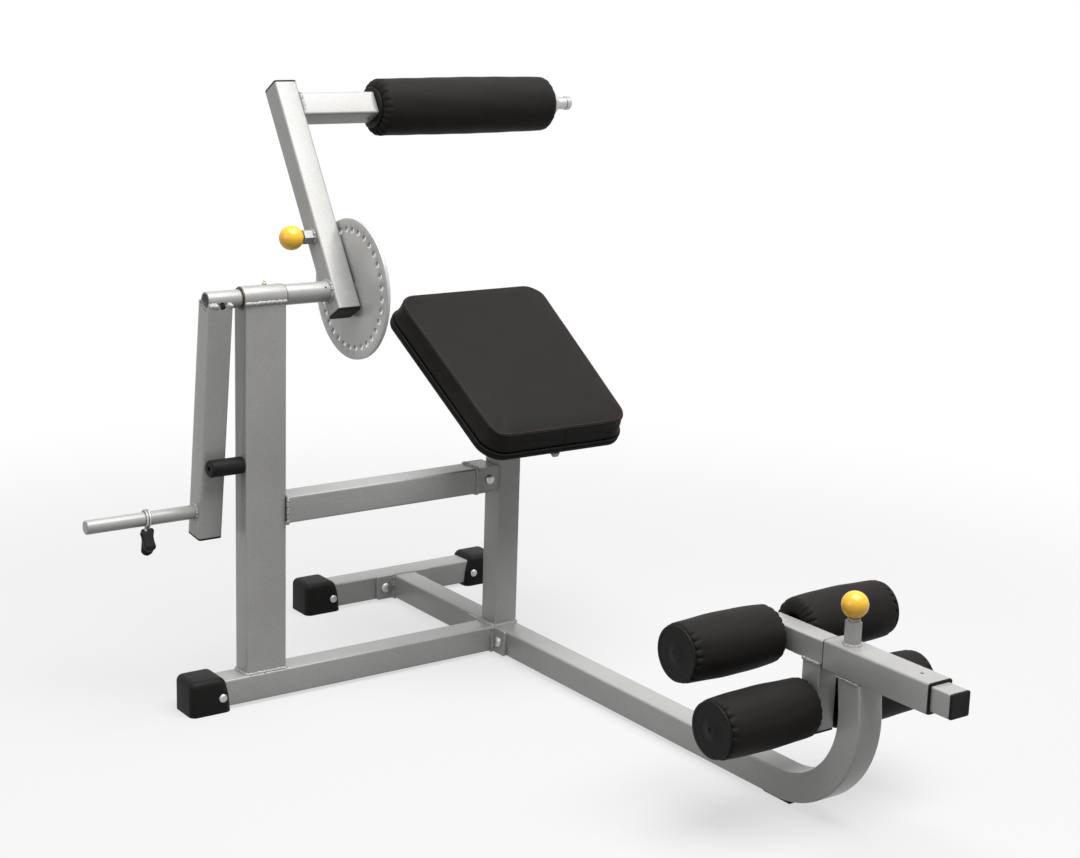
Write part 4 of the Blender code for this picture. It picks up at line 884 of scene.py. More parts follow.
class NodeForm(Nodes):
    """A geometry node group with named inputs, run on one object at a time."""

    def __init__(self, name: str, *sizes: str, **others: str) -> None:
        """Start a group with float inputs for the sizes and others of the given kinds."""
        self.group = bpy.data.node_groups.new(name, "GeometryNodeTree")
        super().__init__(self.group)
        kinds = {"Geometry": "Geometry", **dict.fromkeys(sizes, "Float"), **others,
                 "Paint": "Material"}
        for label, kind in kinds.items():
            self.group.interface.new_socket(label, in_out="INPUT",
                                            socket_type=f"NodeSocket{kind}")
        self.group.interface.new_socket("Geometry", in_out="OUTPUT",
                                        socket_type="NodeSocketGeometry")
        self.entry = self.group.nodes.new("NodeGroupInput").outputs

    def given(self, label: str) -> Sock:
        """One of the group's inputs."""
        return Sock(self, self.entry[label])

    def realized(self, geometry: Sock) -> Sock:
        """Instances made real geometry."""
        return self.node("GeometryNodeRealizeInstances", {"Geometry": geometry})

    def close(self, geometry: Sock) -> "NodeForm":
        """End the group with real geometry in the given paint."""
        dressed = self.node("GeometryNodeSetMaterial", {
            "Geometry": self.realized(geometry), "Material": self.given("Paint")})
        self.node("NodeGroupOutput", {"Geometry": dressed})
        return self

    def run(self, data: bpy.types.ID, values: dict, weld: bool = True) -> Mesh:
        """A plain mesh from the group, with its inputs set by name."""
        obj = linked(self.group.name, data)
        modifier = obj.modifiers.new("Form", "NODES")
        modifier.node_group = self.group
        for item in self.group.interface.items_tree:
            if item.in_out == "INPUT" and item.name in values:
                modifier[item.identifier] = values[item.name]
        return evaluated(obj, weld)


@dataclass
class BeadRow:
    """Small rounded bodies in a row along curves: weld ripples or thread stitches."""

    look: Look
    label: str
    spacing: float
    radius: float
    stretch: float
    spread: tuple[float, float] = (0.80, 1.20)
    wander: float = 0.0005
    seed: int = 4
    paths: dict[str, list[tuple]] = field(default_factory=dict)

    def along(self, body: str, points: list, matrix: Matrix, cyclic: bool = True,
              weight: float = 1.0) -> None:
        """Keep one path for its body. The weight scales its beads."""
        world = [tuple(matrix @ Vector((*point, *(0.0,) * (3 - len(point))))) for point in points]
        self.paths.setdefault(body, []).append((world, cyclic, weight))

    def form(self) -> NodeForm:
        """The node group that lays beads along a curve, each turned to its tangent."""
        form = NodeForm(self.label, "Spacing", "Radius", "Stretch", Seed="Int")
        even = form.node("GeometryNodeResampleCurve", {
            "Curve": form.given("Geometry"), "Length": form.given("Spacing")}, mode="LENGTH")
        wander = form.node("FunctionNodeRandomValue", {
            0: (-self.wander,) * 3, 1: (self.wander,) * 3, "Seed": form.given("Seed")},
            data_type="FLOAT_VECTOR")
        curve = form.node("GeometryNodeSetPosition", {"Geometry": even, "Offset": wander})
        sphere = form.node("GeometryNodeMeshUVSphere", {
            "Segments": 8, "Rings": 6, "Radius": form.given("Radius")})
        shape = form.node("ShaderNodeCombineXYZ", {"X": 1.0, "Y": 1.0, "Z": form.given("Stretch")})
        bead = form.node("GeometryNodeTransform", {"Geometry": sphere, "Scale": shape})
        turn = form.node("FunctionNodeAlignRotationToVector", {
            "Vector": form.node("GeometryNodeInputTangent")}, axis="Z")
        vary = form.node("FunctionNodeRandomValue", {
            2: self.spread[0], 3: self.spread[1], "Seed": form.given("Seed")}, 1,
            data_type="FLOAT")
        beads = form.node("GeometryNodeInstanceOnPoints", {
            "Points": curve, "Instance": bead, "Rotation": turn,
            "Scale": vary * form.node("GeometryNodeInputRadius")})
        return form.close(form.node("GeometryNodeSetShadeSmooth", {"Geometry": beads}))

    def build(self) -> None:
        """Lay the beads on every kept path, one piece for each body."""
        form = self.form()
        for body, paths in self.paths.items():
            curve = assign(bpy.data.curves.new(self.label, "CURVE"), dimensions="3D")
            for points, cyclic, weight in paths:
                poly_spline(curve, points, cyclic, weight)
            mesh = form.run(curve, {"Spacing": self.spacing, "Radius": self.radius,
                                    "Stretch": self.stretch, "Seed": self.seed,
                                    "Paint": self.look.material}, weld=False)
            Part(f"{self.label}_{body}", mesh, Matrix.Identity(4), body, self.look,
                 smooth=math.pi).done()


# Sub-assemblies


@dataclass
class Assembly:
    """What every sub-assembly is given, and how it places and names its pieces."""

    finish: Finishes
    welds: BeadRow
    stitches: BeadRow
    body: ClassVar[str]
    axes: ClassVar[Matrix]

    def at(self, x: float, y: float, z: float, turn: Turn | Point = Turn.UP) -> Matrix:
        """A place and a turn in the sub-assembly's axes."""
        return placed(self.axes, (x, y, z), turn)

    def part(self, node: str, mesh: Mesh, matrix: Matrix, look: Look | None = None) -> Part:
        """A piece in the paint, or another look, that stands for a CAD node."""
        return Part(f"{node}_shown", mesh, matrix, self.body, look or self.finish.paint, (node,))

    def trim(self, name: str, mesh: Mesh, matrix: Matrix, look: Look, **more: object) -> Object:
        """A finished piece under its own name."""
        return Part(name, mesh, matrix, self.body, look, **more).done()

    def weld(self, path: list, matrix: Matrix, cyclic: bool = True,
             weight: float = 1.0) -> None:
        """Keep a path for the weld beads of this body."""
        self.welds.along(self.body, path, matrix, cyclic, weight)

    def tube_weld(self, matrix: Matrix, width: float = SIZE.tube, depth: float | None = None,
                  weight: float = 1.0) -> None:
        """Keep a weld path round a tube."""
        grown = 0.0006
        self.weld(rounded_rectangle(width + grown, (depth or width) + grown,
                                    SIZE.tube_corner, 3), matrix, weight=weight)


@dataclass
class FloorFrame(Assembly):
    """The cross tube on the left, the rear stabilizer, the long tube and the feet."""

    base_reach: float = 0.676
    flange_width: float = 0.130
    bolt_spacing: float = 0.092
    long_rear: float = 0.353
    stabilizer_y: float = long_rear + SIZE.plate + GAP + SIZE.tube / 2
    stabilizer_length: float = 0.460
    bend_start: float = 0.838
    bend_radius: float = 0.155
    bend_angle: float = math.radians(95.5)
    cap_length: float = 0.080
    cap_top_length: float = 0.068
    cap_side: float = 0.010
    cap_top: float = 0.010
    cap_end: float = 0.005
    cap_round: float = 0.0125
    pad_start: float = 0.800
    pad_end: float = 0.864
    pad_width: float = 0.030
    leg_into_sleeve: float = 0.020
    sole_round: float = 0.0012
    screw_inset: float = 0.019
    screw_drop: float = 0.002

    body = "frame"
    axes = SIZE.world

    def build(self) -> None:
        """Make every piece of the floor frame."""
        self.base()
        self.stabilizer()
        self.long_tube()
        half = self.stabilizer_length / 2 + GAP + self.cap_end
        self.foot("foot_front_left", -self.base_reach - GAP - self.cap_end, 0, -1)
        self.foot("foot_rear_left", -half, self.stabilizer_y, -1)
        self.foot("foot_rear_right", half, self.stabilizer_y, 1)
        self.bend_pad()

    def bolt(self, name: str, place: Matrix) -> None:
        """A dome-head bolt through a flange and a tube, with its nut."""
        grip, nut = SIZE.plate + SIZE.tube, 0.009
        part = self.part(name, dome_bolt_mesh(head=0.021, shank=0.010, length=grip + 0.012,
                                              dome=0.0065), place, self.finish.zinc)
        part.beside(hex_mesh(flats=0.017, length=nut),
                    placed(place, (0, 0, -grip - 3 * GAP - nut / 2))).done()

    def base(self) -> None:
        """The base tube with its flange plate and bolts."""
        right = -SIZE.tube / 2 - GAP - SIZE.plate
        end = right + SIZE.plate / 2
        part = self.part("base_tube", tube_mesh(SIZE.tube, end + self.base_reach), self.at(
            (end - self.base_reach) / 2, 0, SIZE.tube_z, Turn.RIGHT))
        part.beside(soft_plate(SIZE.tube, self.flange_width, SIZE.plate, SIZE.tube_corner),
                    self.at(end, 0, SIZE.tube_z, Turn.RIGHT)).done()
        self.tube_weld(self.at(right, 0, SIZE.tube_z, Turn.RIGHT))
        for side, place in ((-1, "front"), (1, "rear")):
            self.bolt(f"base_bolt_{place}", self.at(
                right - GAP, side * self.bolt_spacing / 2, SIZE.tube_z, Turn.LEFT))

    def stabilizer(self) -> None:
        """The rear cross tube and the bolts through it."""
        self.part("rear_stabilizer", tube_mesh(SIZE.tube, self.stabilizer_length), self.at(
            0, self.stabilizer_y, SIZE.tube_z, Turn.RIGHT)).done()
        for side, place in ((-1, "left"), (1, "right")):
            self.bolt(f"rear_bolt_{place}", self.at(
                side * self.bolt_spacing / 2, self.long_rear - GAP, SIZE.tube_z, Turn.FRONT))

    def leg_path(self) -> Loop:
        """The long tube's centre line: straight, the bend, then up to the sleeve."""
        path = [(self.long_rear + SIZE.plate / 2, SIZE.tube_z)]
        for step in range(41):
            angle = self.bend_angle * step / 40
            path.append((-self.bend_start - self.bend_radius * math.sin(angle),
                         SIZE.tube_z + self.bend_radius * (1 - math.cos(angle))))
        rise = SIZE.carriage_z - path[-1][1] - SIZE.tube / 2 + self.leg_into_sleeve
        path.append((path[-1][0] - rise / math.tan(self.bend_angle), path[-1][1] + rise))
        return path

    def long_tube(self) -> None:
        """The bent tube under the whole machine, with its rear flange."""
        part = self.part("long_tube", swept_mesh(self.leg_path(), square(SIZE.tube)),
                         self.at(0, 0, 0, Turn.OUTLINE))
        block = 0.08
        part.cut(outline_mesh([square(2 * block, 0.001, 1)], block), self.at(
            0, -self.bend_start - self.bend_radius,
            SIZE.carriage_z - SIZE.tube / 2 - GAP + block / 2))
        part.beside(soft_plate(self.flange_width, SIZE.tube, SIZE.plate, SIZE.tube_corner),
                    self.at(0, self.long_rear + SIZE.plate / 2, SIZE.tube_z, Turn.REAR)).done()
        self.tube_weld(self.at(0, self.long_rear, SIZE.tube_z, Turn.REAR))

    def foot_mesh(self, width: float, height: float) -> Mesh:
        """A foot's block, its slanted end toward -X, with rounded edges."""
        slope = self.cap_length - self.cap_top_length
        side = [(0, 0), (self.cap_length, 0), (self.cap_length, height), (slope, height),
                (slope / 4, height / 2)]
        mesh = outline_mesh([[(x - self.cap_length, z) for x, z in side]], width)
        work = bmesh.new()
        work.from_mesh(mesh)
        bmesh.ops.dissolve_limit(work, angle_limit=0.01, verts=work.verts, edges=work.edges)
        bmesh.ops.rotate(work, matrix=Matrix.Rotation(math.pi / 2, 3, "X"), verts=work.verts)
        for lowest, highest, offset, segments in ((height / 4, height, self.cap_round, 9),
                                                  (-1.0, GAP, self.sole_round, 2)):
            edges = [edge for edge in work.edges if len(edge.link_faces) == 2
                     and lowest < max(vert.co.z for vert in edge.verts) < highest + MERGE]
            bmesh.ops.bevel(work, geom=edges, offset=offset, segments=segments, profile=0.5,
                            affect="EDGES")
        work.to_mesh(mesh)
        work.free()
        return mesh

    def foot(self, name: str, x: float, y: float, outward: float) -> None:
        """A moulded rubber foot and its bolt. Outward is 1 where the tube points to +X."""
        width = SIZE.tube + 2 * GAP + 2 * self.cap_side
        place = self.at(x, y, 0, (0, 0, 0 if outward > 0 else math.pi))
        part = self.part(name, self.foot_mesh(width, SIZE.floor + SIZE.tube + self.cap_top),
                         place, self.finish.rubber)
        part.smooth = math.radians(40)
        inside = SIZE.tube + 2 * GAP
        part.cut(soft_plate(inside, inside, 2 * self.cap_length, SIZE.tube_corner), placed(
            place, (-self.cap_length - self.cap_end, 0, SIZE.tube_z), Turn.RIGHT)).done()
        screw = placed(place, (self.screw_inset - self.cap_length, -outward * width / 2,
                               SIZE.tube_z - self.screw_drop),
                       Turn.FRONT if outward > 0 else Turn.REAR)
        self.trim(f"{name}_bolt", dome_bolt_mesh(head=0.016, shank=0.006, length=0.008,
                                                 dome=0.0045), screw, self.finish.zinc)

    def bend_pad(self) -> None:
        """The rubber pad under the start of the bend."""
        reach = self.bend_radius + SIZE.tube / 2 + GAP
        outline = [(-self.pad_start, 0), (-self.pad_start, SIZE.floor - GAP)]
        for step in range(13):
            y = self.bend_start + (self.pad_end - self.bend_start) * step / 12
            drop = math.sqrt(reach**2 - (y - self.bend_start) ** 2)
            outline.append((-y, SIZE.tube_z + self.bend_radius - drop))
        outline.append((-self.pad_end, 0))
        self.part("bend_pad", outline_mesh([outline], self.pad_width),
                  self.at(0, 0, 0, Turn.OUTLINE), self.finish.rubber).done()


@dataclass
class UprightFrame(Assembly):
    """The upright, its pivot sleeve and bushes, the bumper and the brace."""

    depth: float = 0.045
    upright_y: float = 0.0025
    sleeve: float = 0.042
    sleeve_bore: float = 0.031
    bush_flange: float = 0.0397
    bush_length: float = 0.028
    bush_rim: float = 0.0016
    brace_z: float = 0.3556
    bracket_front: float = -0.025
    bracket_length: float = 0.054
    bumper_diameter: float = 0.031
    bumper_length: float = 0.064
    bumper_z: float = 0.445
    nipple_x: float = 0.006

    body = "frame"
    axes = SIZE.world

    def build(self) -> None:
        """Make every piece of the upright frame."""
        self.upright()
        self.pivot()
        self.bumper()
        self.brace()

    def upright(self) -> None:
        """The rectangular upright, coped round the pivot sleeve and welded to the base tube."""
        height = SIZE.pivot_z - SIZE.on_tube
        tube = tube_mesh(SIZE.upright_width, height, depth=self.depth)
        part = self.part("main_upright", tube, self.at(
            SIZE.upright_x, self.upright_y, SIZE.on_tube + height / 2))
        part.cut(rod_mesh(self.sleeve + 2 * GAP, 2 * SIZE.upright_width),
                 placed(SIZE.lever, turn=Turn.RIGHT)).done()
        self.tube_weld(self.at(SIZE.upright_x, self.upright_y, SIZE.on_tube),
                       SIZE.upright_width, self.depth)

    def pivot(self) -> None:
        """The cross sleeve with its flanged bronze bushes and its grease nipple."""
        self.part("pivot_sleeve", ring_mesh(self.sleeve, self.sleeve_bore,
                                            SIZE.sleeve_right - SIZE.sleeve_left),
                  placed(SIZE.lever, turn=Turn.RIGHT)).done()
        radius = self.sleeve / 2 + 0.0004
        half = SIZE.upright_width / 2 - 0.002
        for side in (-1, 1):
            face = side * self.depth / 2 + self.upright_y
            drop = -math.sqrt(max(radius**2 - face**2, 0.0))
            self.weld([(-half, face, drop), (half, face, drop)], SIZE.lever, False, 1.2)
        bore, body = SIZE.shaft / 2 + GAP, self.sleeve_bore / 2 - GAP
        edge, lip = self.bush_flange / 2, self.bush_rim
        profile = [(bore, lip), (edge - 0.0004, lip), (edge, lip - 0.0004), (edge, 0), (body, 0),
                   (body, -self.bush_length), (bore, -self.bush_length)]
        for name, x, turn in (("left", SIZE.sleeve_left - GAP, Turn.LEFT),
                              ("right", SIZE.sleeve_right + GAP, Turn.RIGHT)):
            self.part(f"pivot_bush_{name}", turned_mesh(profile, closed=True),
                      self.at(x, 0, SIZE.pivot_z, turn), self.finish.bronze).done()
        nipple = [(0.0, 0.0078)] + arc((0.0, 0.0060), 0.0018, 80, -40) + [
            (0.0013, 0.0044), (0.0020, 0.0036), (0.0034, 0.0033), (0.0038, 0.0028),
            (0.0038, 0.0006), (0.0034, -0.003), (0.0, -0.003)]
        self.trim("grease_nipple", turned_mesh(nipple, 24),
                  placed(SIZE.lever, (self.nipple_x, 0, self.sleeve / 2)), self.finish.brass)

    def bumper(self) -> None:
        """The rubber stop that the weight arm rests on."""
        reach = SIZE.arm_tube / 2 + GAP + self.bumper_diameter / 2
        fall = SIZE.pivot_z - self.bumper_z
        y = (fall * math.sin(SIZE.weight_lean) - reach) / math.cos(SIZE.weight_lean)
        left = SIZE.upright_x - SIZE.upright_width / 2
        radius, half = self.bumper_diameter / 2, self.bumper_length / 2
        profile = [(0.0, half), (radius - 0.006, half), *rim(radius, half, 0.003),
                   (0.0048, -half), (0.0042, 0.006 - half), (0.0, 0.006 - half)]
        self.part("bumper", turned_mesh(profile),
                  self.at(left - GAP - half, y, self.bumper_z, Turn.RIGHT),
                  self.finish.rubber).done()

    def brace(self) -> None:
        """The brace tube, its end bracket, the bracket's plug and bolt."""
        right = -1.5 * SIZE.tube - 3 * GAP
        left = SIZE.upright_x + SIZE.upright_width / 2 + GAP
        self.part("brace_tube", tube_mesh(SIZE.tube, right - left), self.at(
            (left + right) / 2, 0, self.brace_z, Turn.RIGHT)).done()
        for x in (left, right):
            self.tube_weld(self.at(x, 0, self.brace_z, Turn.RIGHT))
        front, rear = self.bracket_front, self.bracket_front + self.bracket_length
        x = -SIZE.tube - 1.5 * GAP
        part = self.part("brace_bracket", tube_mesh(SIZE.tube, self.bracket_length),
                         self.at(x, (front + rear) / 2, self.brace_z, Turn.REAR))
        lid, thickness = SIZE.tube - 0.001, 0.004
        part.beside(soft_plate(lid, lid, thickness, corner=0.003),
                    self.at(x, front + 0.0005 + thickness / 2, self.brace_z, Turn.REAR)).done()
        self.part("brace_plug", plug_mesh(SIZE.tube),
                  self.at(x, rear + GAP, self.brace_z, Turn.REAR), self.finish.plastic).done()
        self.trim("brace_bolt", dome_bolt_mesh(head=0.019, shank=0.009, length=0.030,
                                               dome=0.0055),
                  self.at(x + 0.003, front, self.brace_z, Turn.FRONT), self.finish.zinc)


@dataclass
class Seat(Assembly):
    """The post, the support, the wrapped board and the cushion."""

    width: float = 0.324
    length: float = 0.397
    taper: float = 0.034
    thickness: float = 0.050
    corner: float = 0.040
    tilt: float = math.radians(32.0)
    y: float = -0.0344
    z: float = 0.5956
    crown: float = 0.004
    flare: float = 0.005
    draw: float = 0.0022
    edge: float = 0.006
    board: float = 0.011
    board_edge: float = 0.0045
    board_flare: float = 0.0065
    support: float = 0.005
    swell: float = 0.003
    welts: tuple[float, float, float] = (0.0022, 0.0042, 0.0016)

    body = "frame"
    axes = SIZE.world

    def on_pad(self, y: float, z: float) -> Matrix:
        """A place in the tilted axes of the pad's top plane."""
        return placed(self.at(0, self.y, self.z, (self.tilt, 0, 0)), (0, y, z))

    def build(self) -> None:
        """Make every piece of the seat."""
        self.post()
        self.support_plate()
        self.wrapped_board()
        self.cushion()

    def outline(self, inset: float, side_points: int = 3, steps: int = 12) -> Loop:
        """The pad's rounded outline, wider toward its rear end, drawn in by the inset."""
        corner = max(self.corner - inset, self.corner / 3)
        loop = rounded_rectangle(self.width - 2 * inset, self.length - 2 * inset, corner, steps,
                                 side_points)
        widen = 2 * self.taper / self.width
        return [(x * (1 + widen * y), y) for x, y in loop]

    def post(self) -> None:
        """The post, its top cut to the seat's tilt."""
        tilted = Matrix.Rotation(self.tilt, 3, "X")
        drop = self.thickness + self.board + self.support + 3 * GAP
        foot = Vector((0, self.y, self.z)) + tilted @ Vector((0, 0, -drop))
        top = foot.z + (SIZE.tube - foot.y) * math.tan(self.tilt)
        part = self.part("seat_post", tube_mesh(SIZE.tube, top - SIZE.on_tube),
                         self.at(0, 0, (top + SIZE.on_tube) / 2))
        block = self.length / 2
        middle = foot + tilted @ Vector((0, 0, block / 2))
        part.cut(outline_mesh([rounded_rectangle(0.1, 0.8, 0.001, 1)], block),
                 self.at(*middle, (self.tilt, 0, 0))).done()
        self.tube_weld(self.at(0, 0, SIZE.on_tube))

    def support_plate(self) -> None:
        """The plate on the post's top and the bar under the board."""
        under = -self.thickness - self.board - 2 * GAP
        offset = -self.y / math.cos(self.tilt)
        front, rear, bar = -self.length / 2 - self.board_flare, offset - 0.09, 0.009
        plate = soft_plate(width=0.120, depth=0.200, thickness=self.support, corner=0.006)
        part = self.part("seat_support", plate, self.on_pad(offset, under - self.support / 2))
        part.beside(soft_plate(width=0.014, depth=rear - front, thickness=bar, corner=0.003,
                               edge=0.001),
                    self.on_pad((rear + front) / 2, under - bar / 2)).done()

    def wrapped_board(self) -> None:
        """The board, wrapped in vinyl, with a soft outer edge."""
        edge = self.board_edge
        sides = (arc((-edge, edge), edge, -90, 0, 6)
                 + arc((-edge, self.board - edge), edge, 0, 90, 6))
        rings = [(self.outline(-reach - self.board_flare), height) for reach, height in sides]
        self.part("seat_board", lofted_mesh(rings),
                  self.on_pad(0, -self.thickness - GAP - self.board), self.finish.vinyl).done()

    def rings(self) -> list[tuple[Loop, float]]:
        """The cushion's unfilled form, ring by ring from its foot to its middle."""
        wall = self.thickness - self.crown - self.edge
        rings = []
        for share in (step / 6 for step in range(7)):
            drawn = self.draw * math.sin(math.pi * share) - self.flare * (1 - share) ** 1.5
            rings.append((self.outline(drawn, 14, 8), wall * share))
        for turn in (math.pi / 2 * step / 5 for step in range(1, 6)):
            rings.append((self.outline(self.edge * (1 - math.cos(turn)), 14, 8),
                          wall + self.edge * math.sin(turn)))
        last = rings[-1][0]
        for scale in (1 - step / 12.6 for step in range(1, 13)):
            rise = self.crown * (1 - scale**2.4)
            rings.append(([(x * scale, y * scale) for x, y in last],
                          self.thickness - self.crown + rise))
        return rings

    def cushion(self) -> None:
        """The cushion, filled by a cloth simulation, then its seams and piping."""
        place = self.on_pad(0, -self.thickness)
        rings = self.rings()
        count = len(rings[0][0])
        blank = lofted_mesh(rings)
        held = np.arange(len(blank.vertices)) < 2 * count
        mesh = filled(blank, held, 3.5, self.swell)
        rows = points_of(mesh)[:len(rings) * count].reshape(len(rings), count, 3).copy()
        self.trim("seat_cushion", mesh, place, self.finish.vinyl,
                            replaces=("seat_pad",), smooth=SOFT_ANGLE)
        foot = [(x, y, 0.0022) for x, y in self.outline(0.0006 - self.flare)]
        paths = {"upper": rows[8], "lower": foot, "join": rows[1:9, count // 2 + 16]}
        for (name, path), width in zip(paths.items(), self.welts):
            self.trim(f"seat_piping_{name}", wire_mesh([tuple(point) for point in path], width,
                                                       name != "join"),
                      place, self.finish.vinyl, smooth=math.pi)
        lifted = rows[10] + np.array([0.0, 0.0, 0.0002])
        self.stitches.along(self.body, [tuple(point) for point in lifted], place)


@dataclass
class WeightLever(Assembly):
    """The shaft, the weight arm's hub, the hanging arm, its plug and the plate horn."""

    shaft_recess: float = 0.010
    hub: float = 0.032
    arm_length: float = 0.437
    arm_top: float = 0.005
    horn: float = 0.025
    horn_drop: float = 0.388
    horn_length: float = 0.2055
    horn_right: float = SIZE.weight_arm_x - SIZE.arm_tube / 2 - GAP
    screw_hole: float = 0.0125
    hole_drop: float = 0.008
    hole_clear: float = 0.0085
    hole_x: float = SIZE.weight_hub_left + SIZE.weight_hub / 2 - 0.008

    body = "lever"
    axes = SIZE.lever

    def drilled(self, part: Part) -> None:
        """Finish a piece with the level screw hole, a little under the shaft's middle."""
        part.cut(drill_mesh(self.screw_hole, 1.6 * self.hub), self.at(
            self.hole_x - SIZE.upright_x, -0.004 - self.hub / 2, -self.hole_drop,
            Turn.REAR)).done()

    def build(self) -> None:
        """Make every piece of the weight lever."""
        left = SIZE.weight_hub_left + self.shaft_recess
        right = SIZE.disc_left + SIZE.disc + SIZE.boss_length
        for name, mesh, middle, look in (
                ("pivot_shaft", rod_mesh(SIZE.shaft, right - left, 0.0015), (left + right) / 2,
                 self.finish.steel),
                ("weight_hub", ring_mesh(self.hub, SIZE.shaft + 2 * GAP, SIZE.weight_hub),
                 SIZE.weight_hub_left + SIZE.weight_hub / 2, self.finish.paint)):
            self.drilled(self.part(name, mesh, self.at(middle - SIZE.upright_x, 0, 0,
                                                       Turn.RIGHT), look))
        self.arm()

    def arm(self) -> None:
        """The hanging arm, its plug and its horn."""
        bottom = -self.arm_length + SIZE.plug_lip + GAP
        length = -self.arm_top - bottom
        part = self.part("weight_arm", tube_mesh(SIZE.arm_tube, length),
                         placed(SIZE.hang, (0, 0, bottom + length / 2)))
        lid = SIZE.arm_tube - 0.002
        part.cut(soft_plate(lid, lid, thickness=0.003, corner=0.003),
                 placed(SIZE.hang, (0, 0, -self.arm_top - 0.0018)), "UNION")
        part.cut(rod_mesh(self.hub + 2 * GAP, 2 * SIZE.arm_tube),
                 placed(SIZE.hang, turn=Turn.RIGHT))
        self.drilled(part)
        self.part("weight_arm_plug", plug_mesh(SIZE.arm_tube),
                  placed(SIZE.hang, (0, 0, bottom - GAP), Turn.DOWN), self.finish.plastic).done()
        middle = self.horn_right - self.horn_length / 2 - SIZE.weight_arm_x
        self.part("weight_horn", rod_mesh(self.horn, self.horn_length, 0.0022),
                  placed(SIZE.hang, (middle, 0, -self.horn_drop), Turn.RIGHT)).done()
        half = SIZE.arm_tube / 2
        self.weld(circle(self.horn + 0.001, 40),
                  placed(SIZE.hang, (-half, 0, -self.horn_drop), Turn.RIGHT))
        self.saddle(half)

    def saddle(self, half: float) -> None:
        """Weld beads along the hub where the arm's walls meet it, clear of the hole."""
        hole = self.hole_x - SIZE.weight_arm_x
        clear, inset = self.hole_clear, 0.004
        for side, spans in ((-1, ((-half, hole - clear), (hole + clear, half))),
                            (1, ((-half, half),))):
            for left, right in spans:
                for y, z, weight in ((0.0165, -0.0035, 1.0), (0.0200, -0.0055, 1.3)):
                    self.weld([(left + inset, side * y, z), (right - inset, side * y, z)],
                              SIZE.hang, False, weight)


@dataclass
class SpringCollar(Assembly):
    """The sprung clip on the horn: one unbroken wire coil with two moulded grips."""

    lever: WeightLever
    place: float = 0.092
    wire: float = 0.004
    coil_gap: float = 0.0006
    turns: int = 2
    leg: float = 0.020
    grip_width: float = 0.023
    grip_depth: float = 0.010
    grip_start: float = 0.007
    open_angle: float = math.radians(20)
    front: tuple[float, float] = (math.radians(-30), 0.036)
    rear: tuple[float, float] = (math.radians(4), 0.049)

    body = "collar"
    axes = SIZE.hang

    def build(self) -> None:
        """Make the coil and the grips."""
        radius = self.lever.horn / 2 + 2 * GAP + self.wire / 2
        width = (self.wire + self.coil_gap) * self.turns
        wound = 2 * math.pi * self.turns - 2 * self.open_angle
        steps = 40 * self.turns
        coil = []
        for share in (step / steps for step in range(steps + 1)):
            angle = self.open_angle + wound * share
            coil.append((width / 2 - width * share, radius * math.sin(angle),
                         -radius * math.cos(angle)))
        middle = self.at(self.lever.horn_right - self.place - SIZE.weight_arm_x, 0,
                         -self.lever.horn_drop, (-SIZE.weight_lean, 0, 0))
        legs = []
        for point, name, (splay, length) in ((coil[-1], "front", self.front),
                                             (coil[0], "rear", self.rear)):
            lean = Vector((0, math.sin(splay), -math.cos(splay)))
            top = Vector(point)
            legs.append([tuple(top + lean * self.leg * share) for share in (1.0, 0.6, 0.3, 0.15)])
            at = tuple(top + lean * (self.grip_start + length / 2))
            self.part(f"collar_grip_{name}", self.grip(length), placed(middle, at, (splay, 0, 0)),
                      self.finish.plastic).done()
        self.part("collar_spring", wire_mesh(legs[1] + coil + legs[0][::-1], self.wire), middle,
                  self.finish.spring).done()

    def grip(self, length: float) -> Mesh:
        """A moulded grip along Z, waisted at its top and rounded at its lower end."""
        rings = []
        for share in (step / 24 for step in range(25)):
            rounding = math.sqrt(max(1 - (1 - min(share / 0.22, 1.0)) ** 2, 0.02))
            width = self.grip_width * rounding * (0.94 + 0.06 * math.cos(6.28 * share))
            end = 1.0 if share < 0.96 else 0.88
            depth = self.grip_depth * min(1.0, 0.45 + 2.6 * share) * end
            rings.append((rounded_rectangle(width * end, depth, min(width, depth) * 0.36, 4),
                          length * share - length / 2))
        return lofted_mesh(rings)


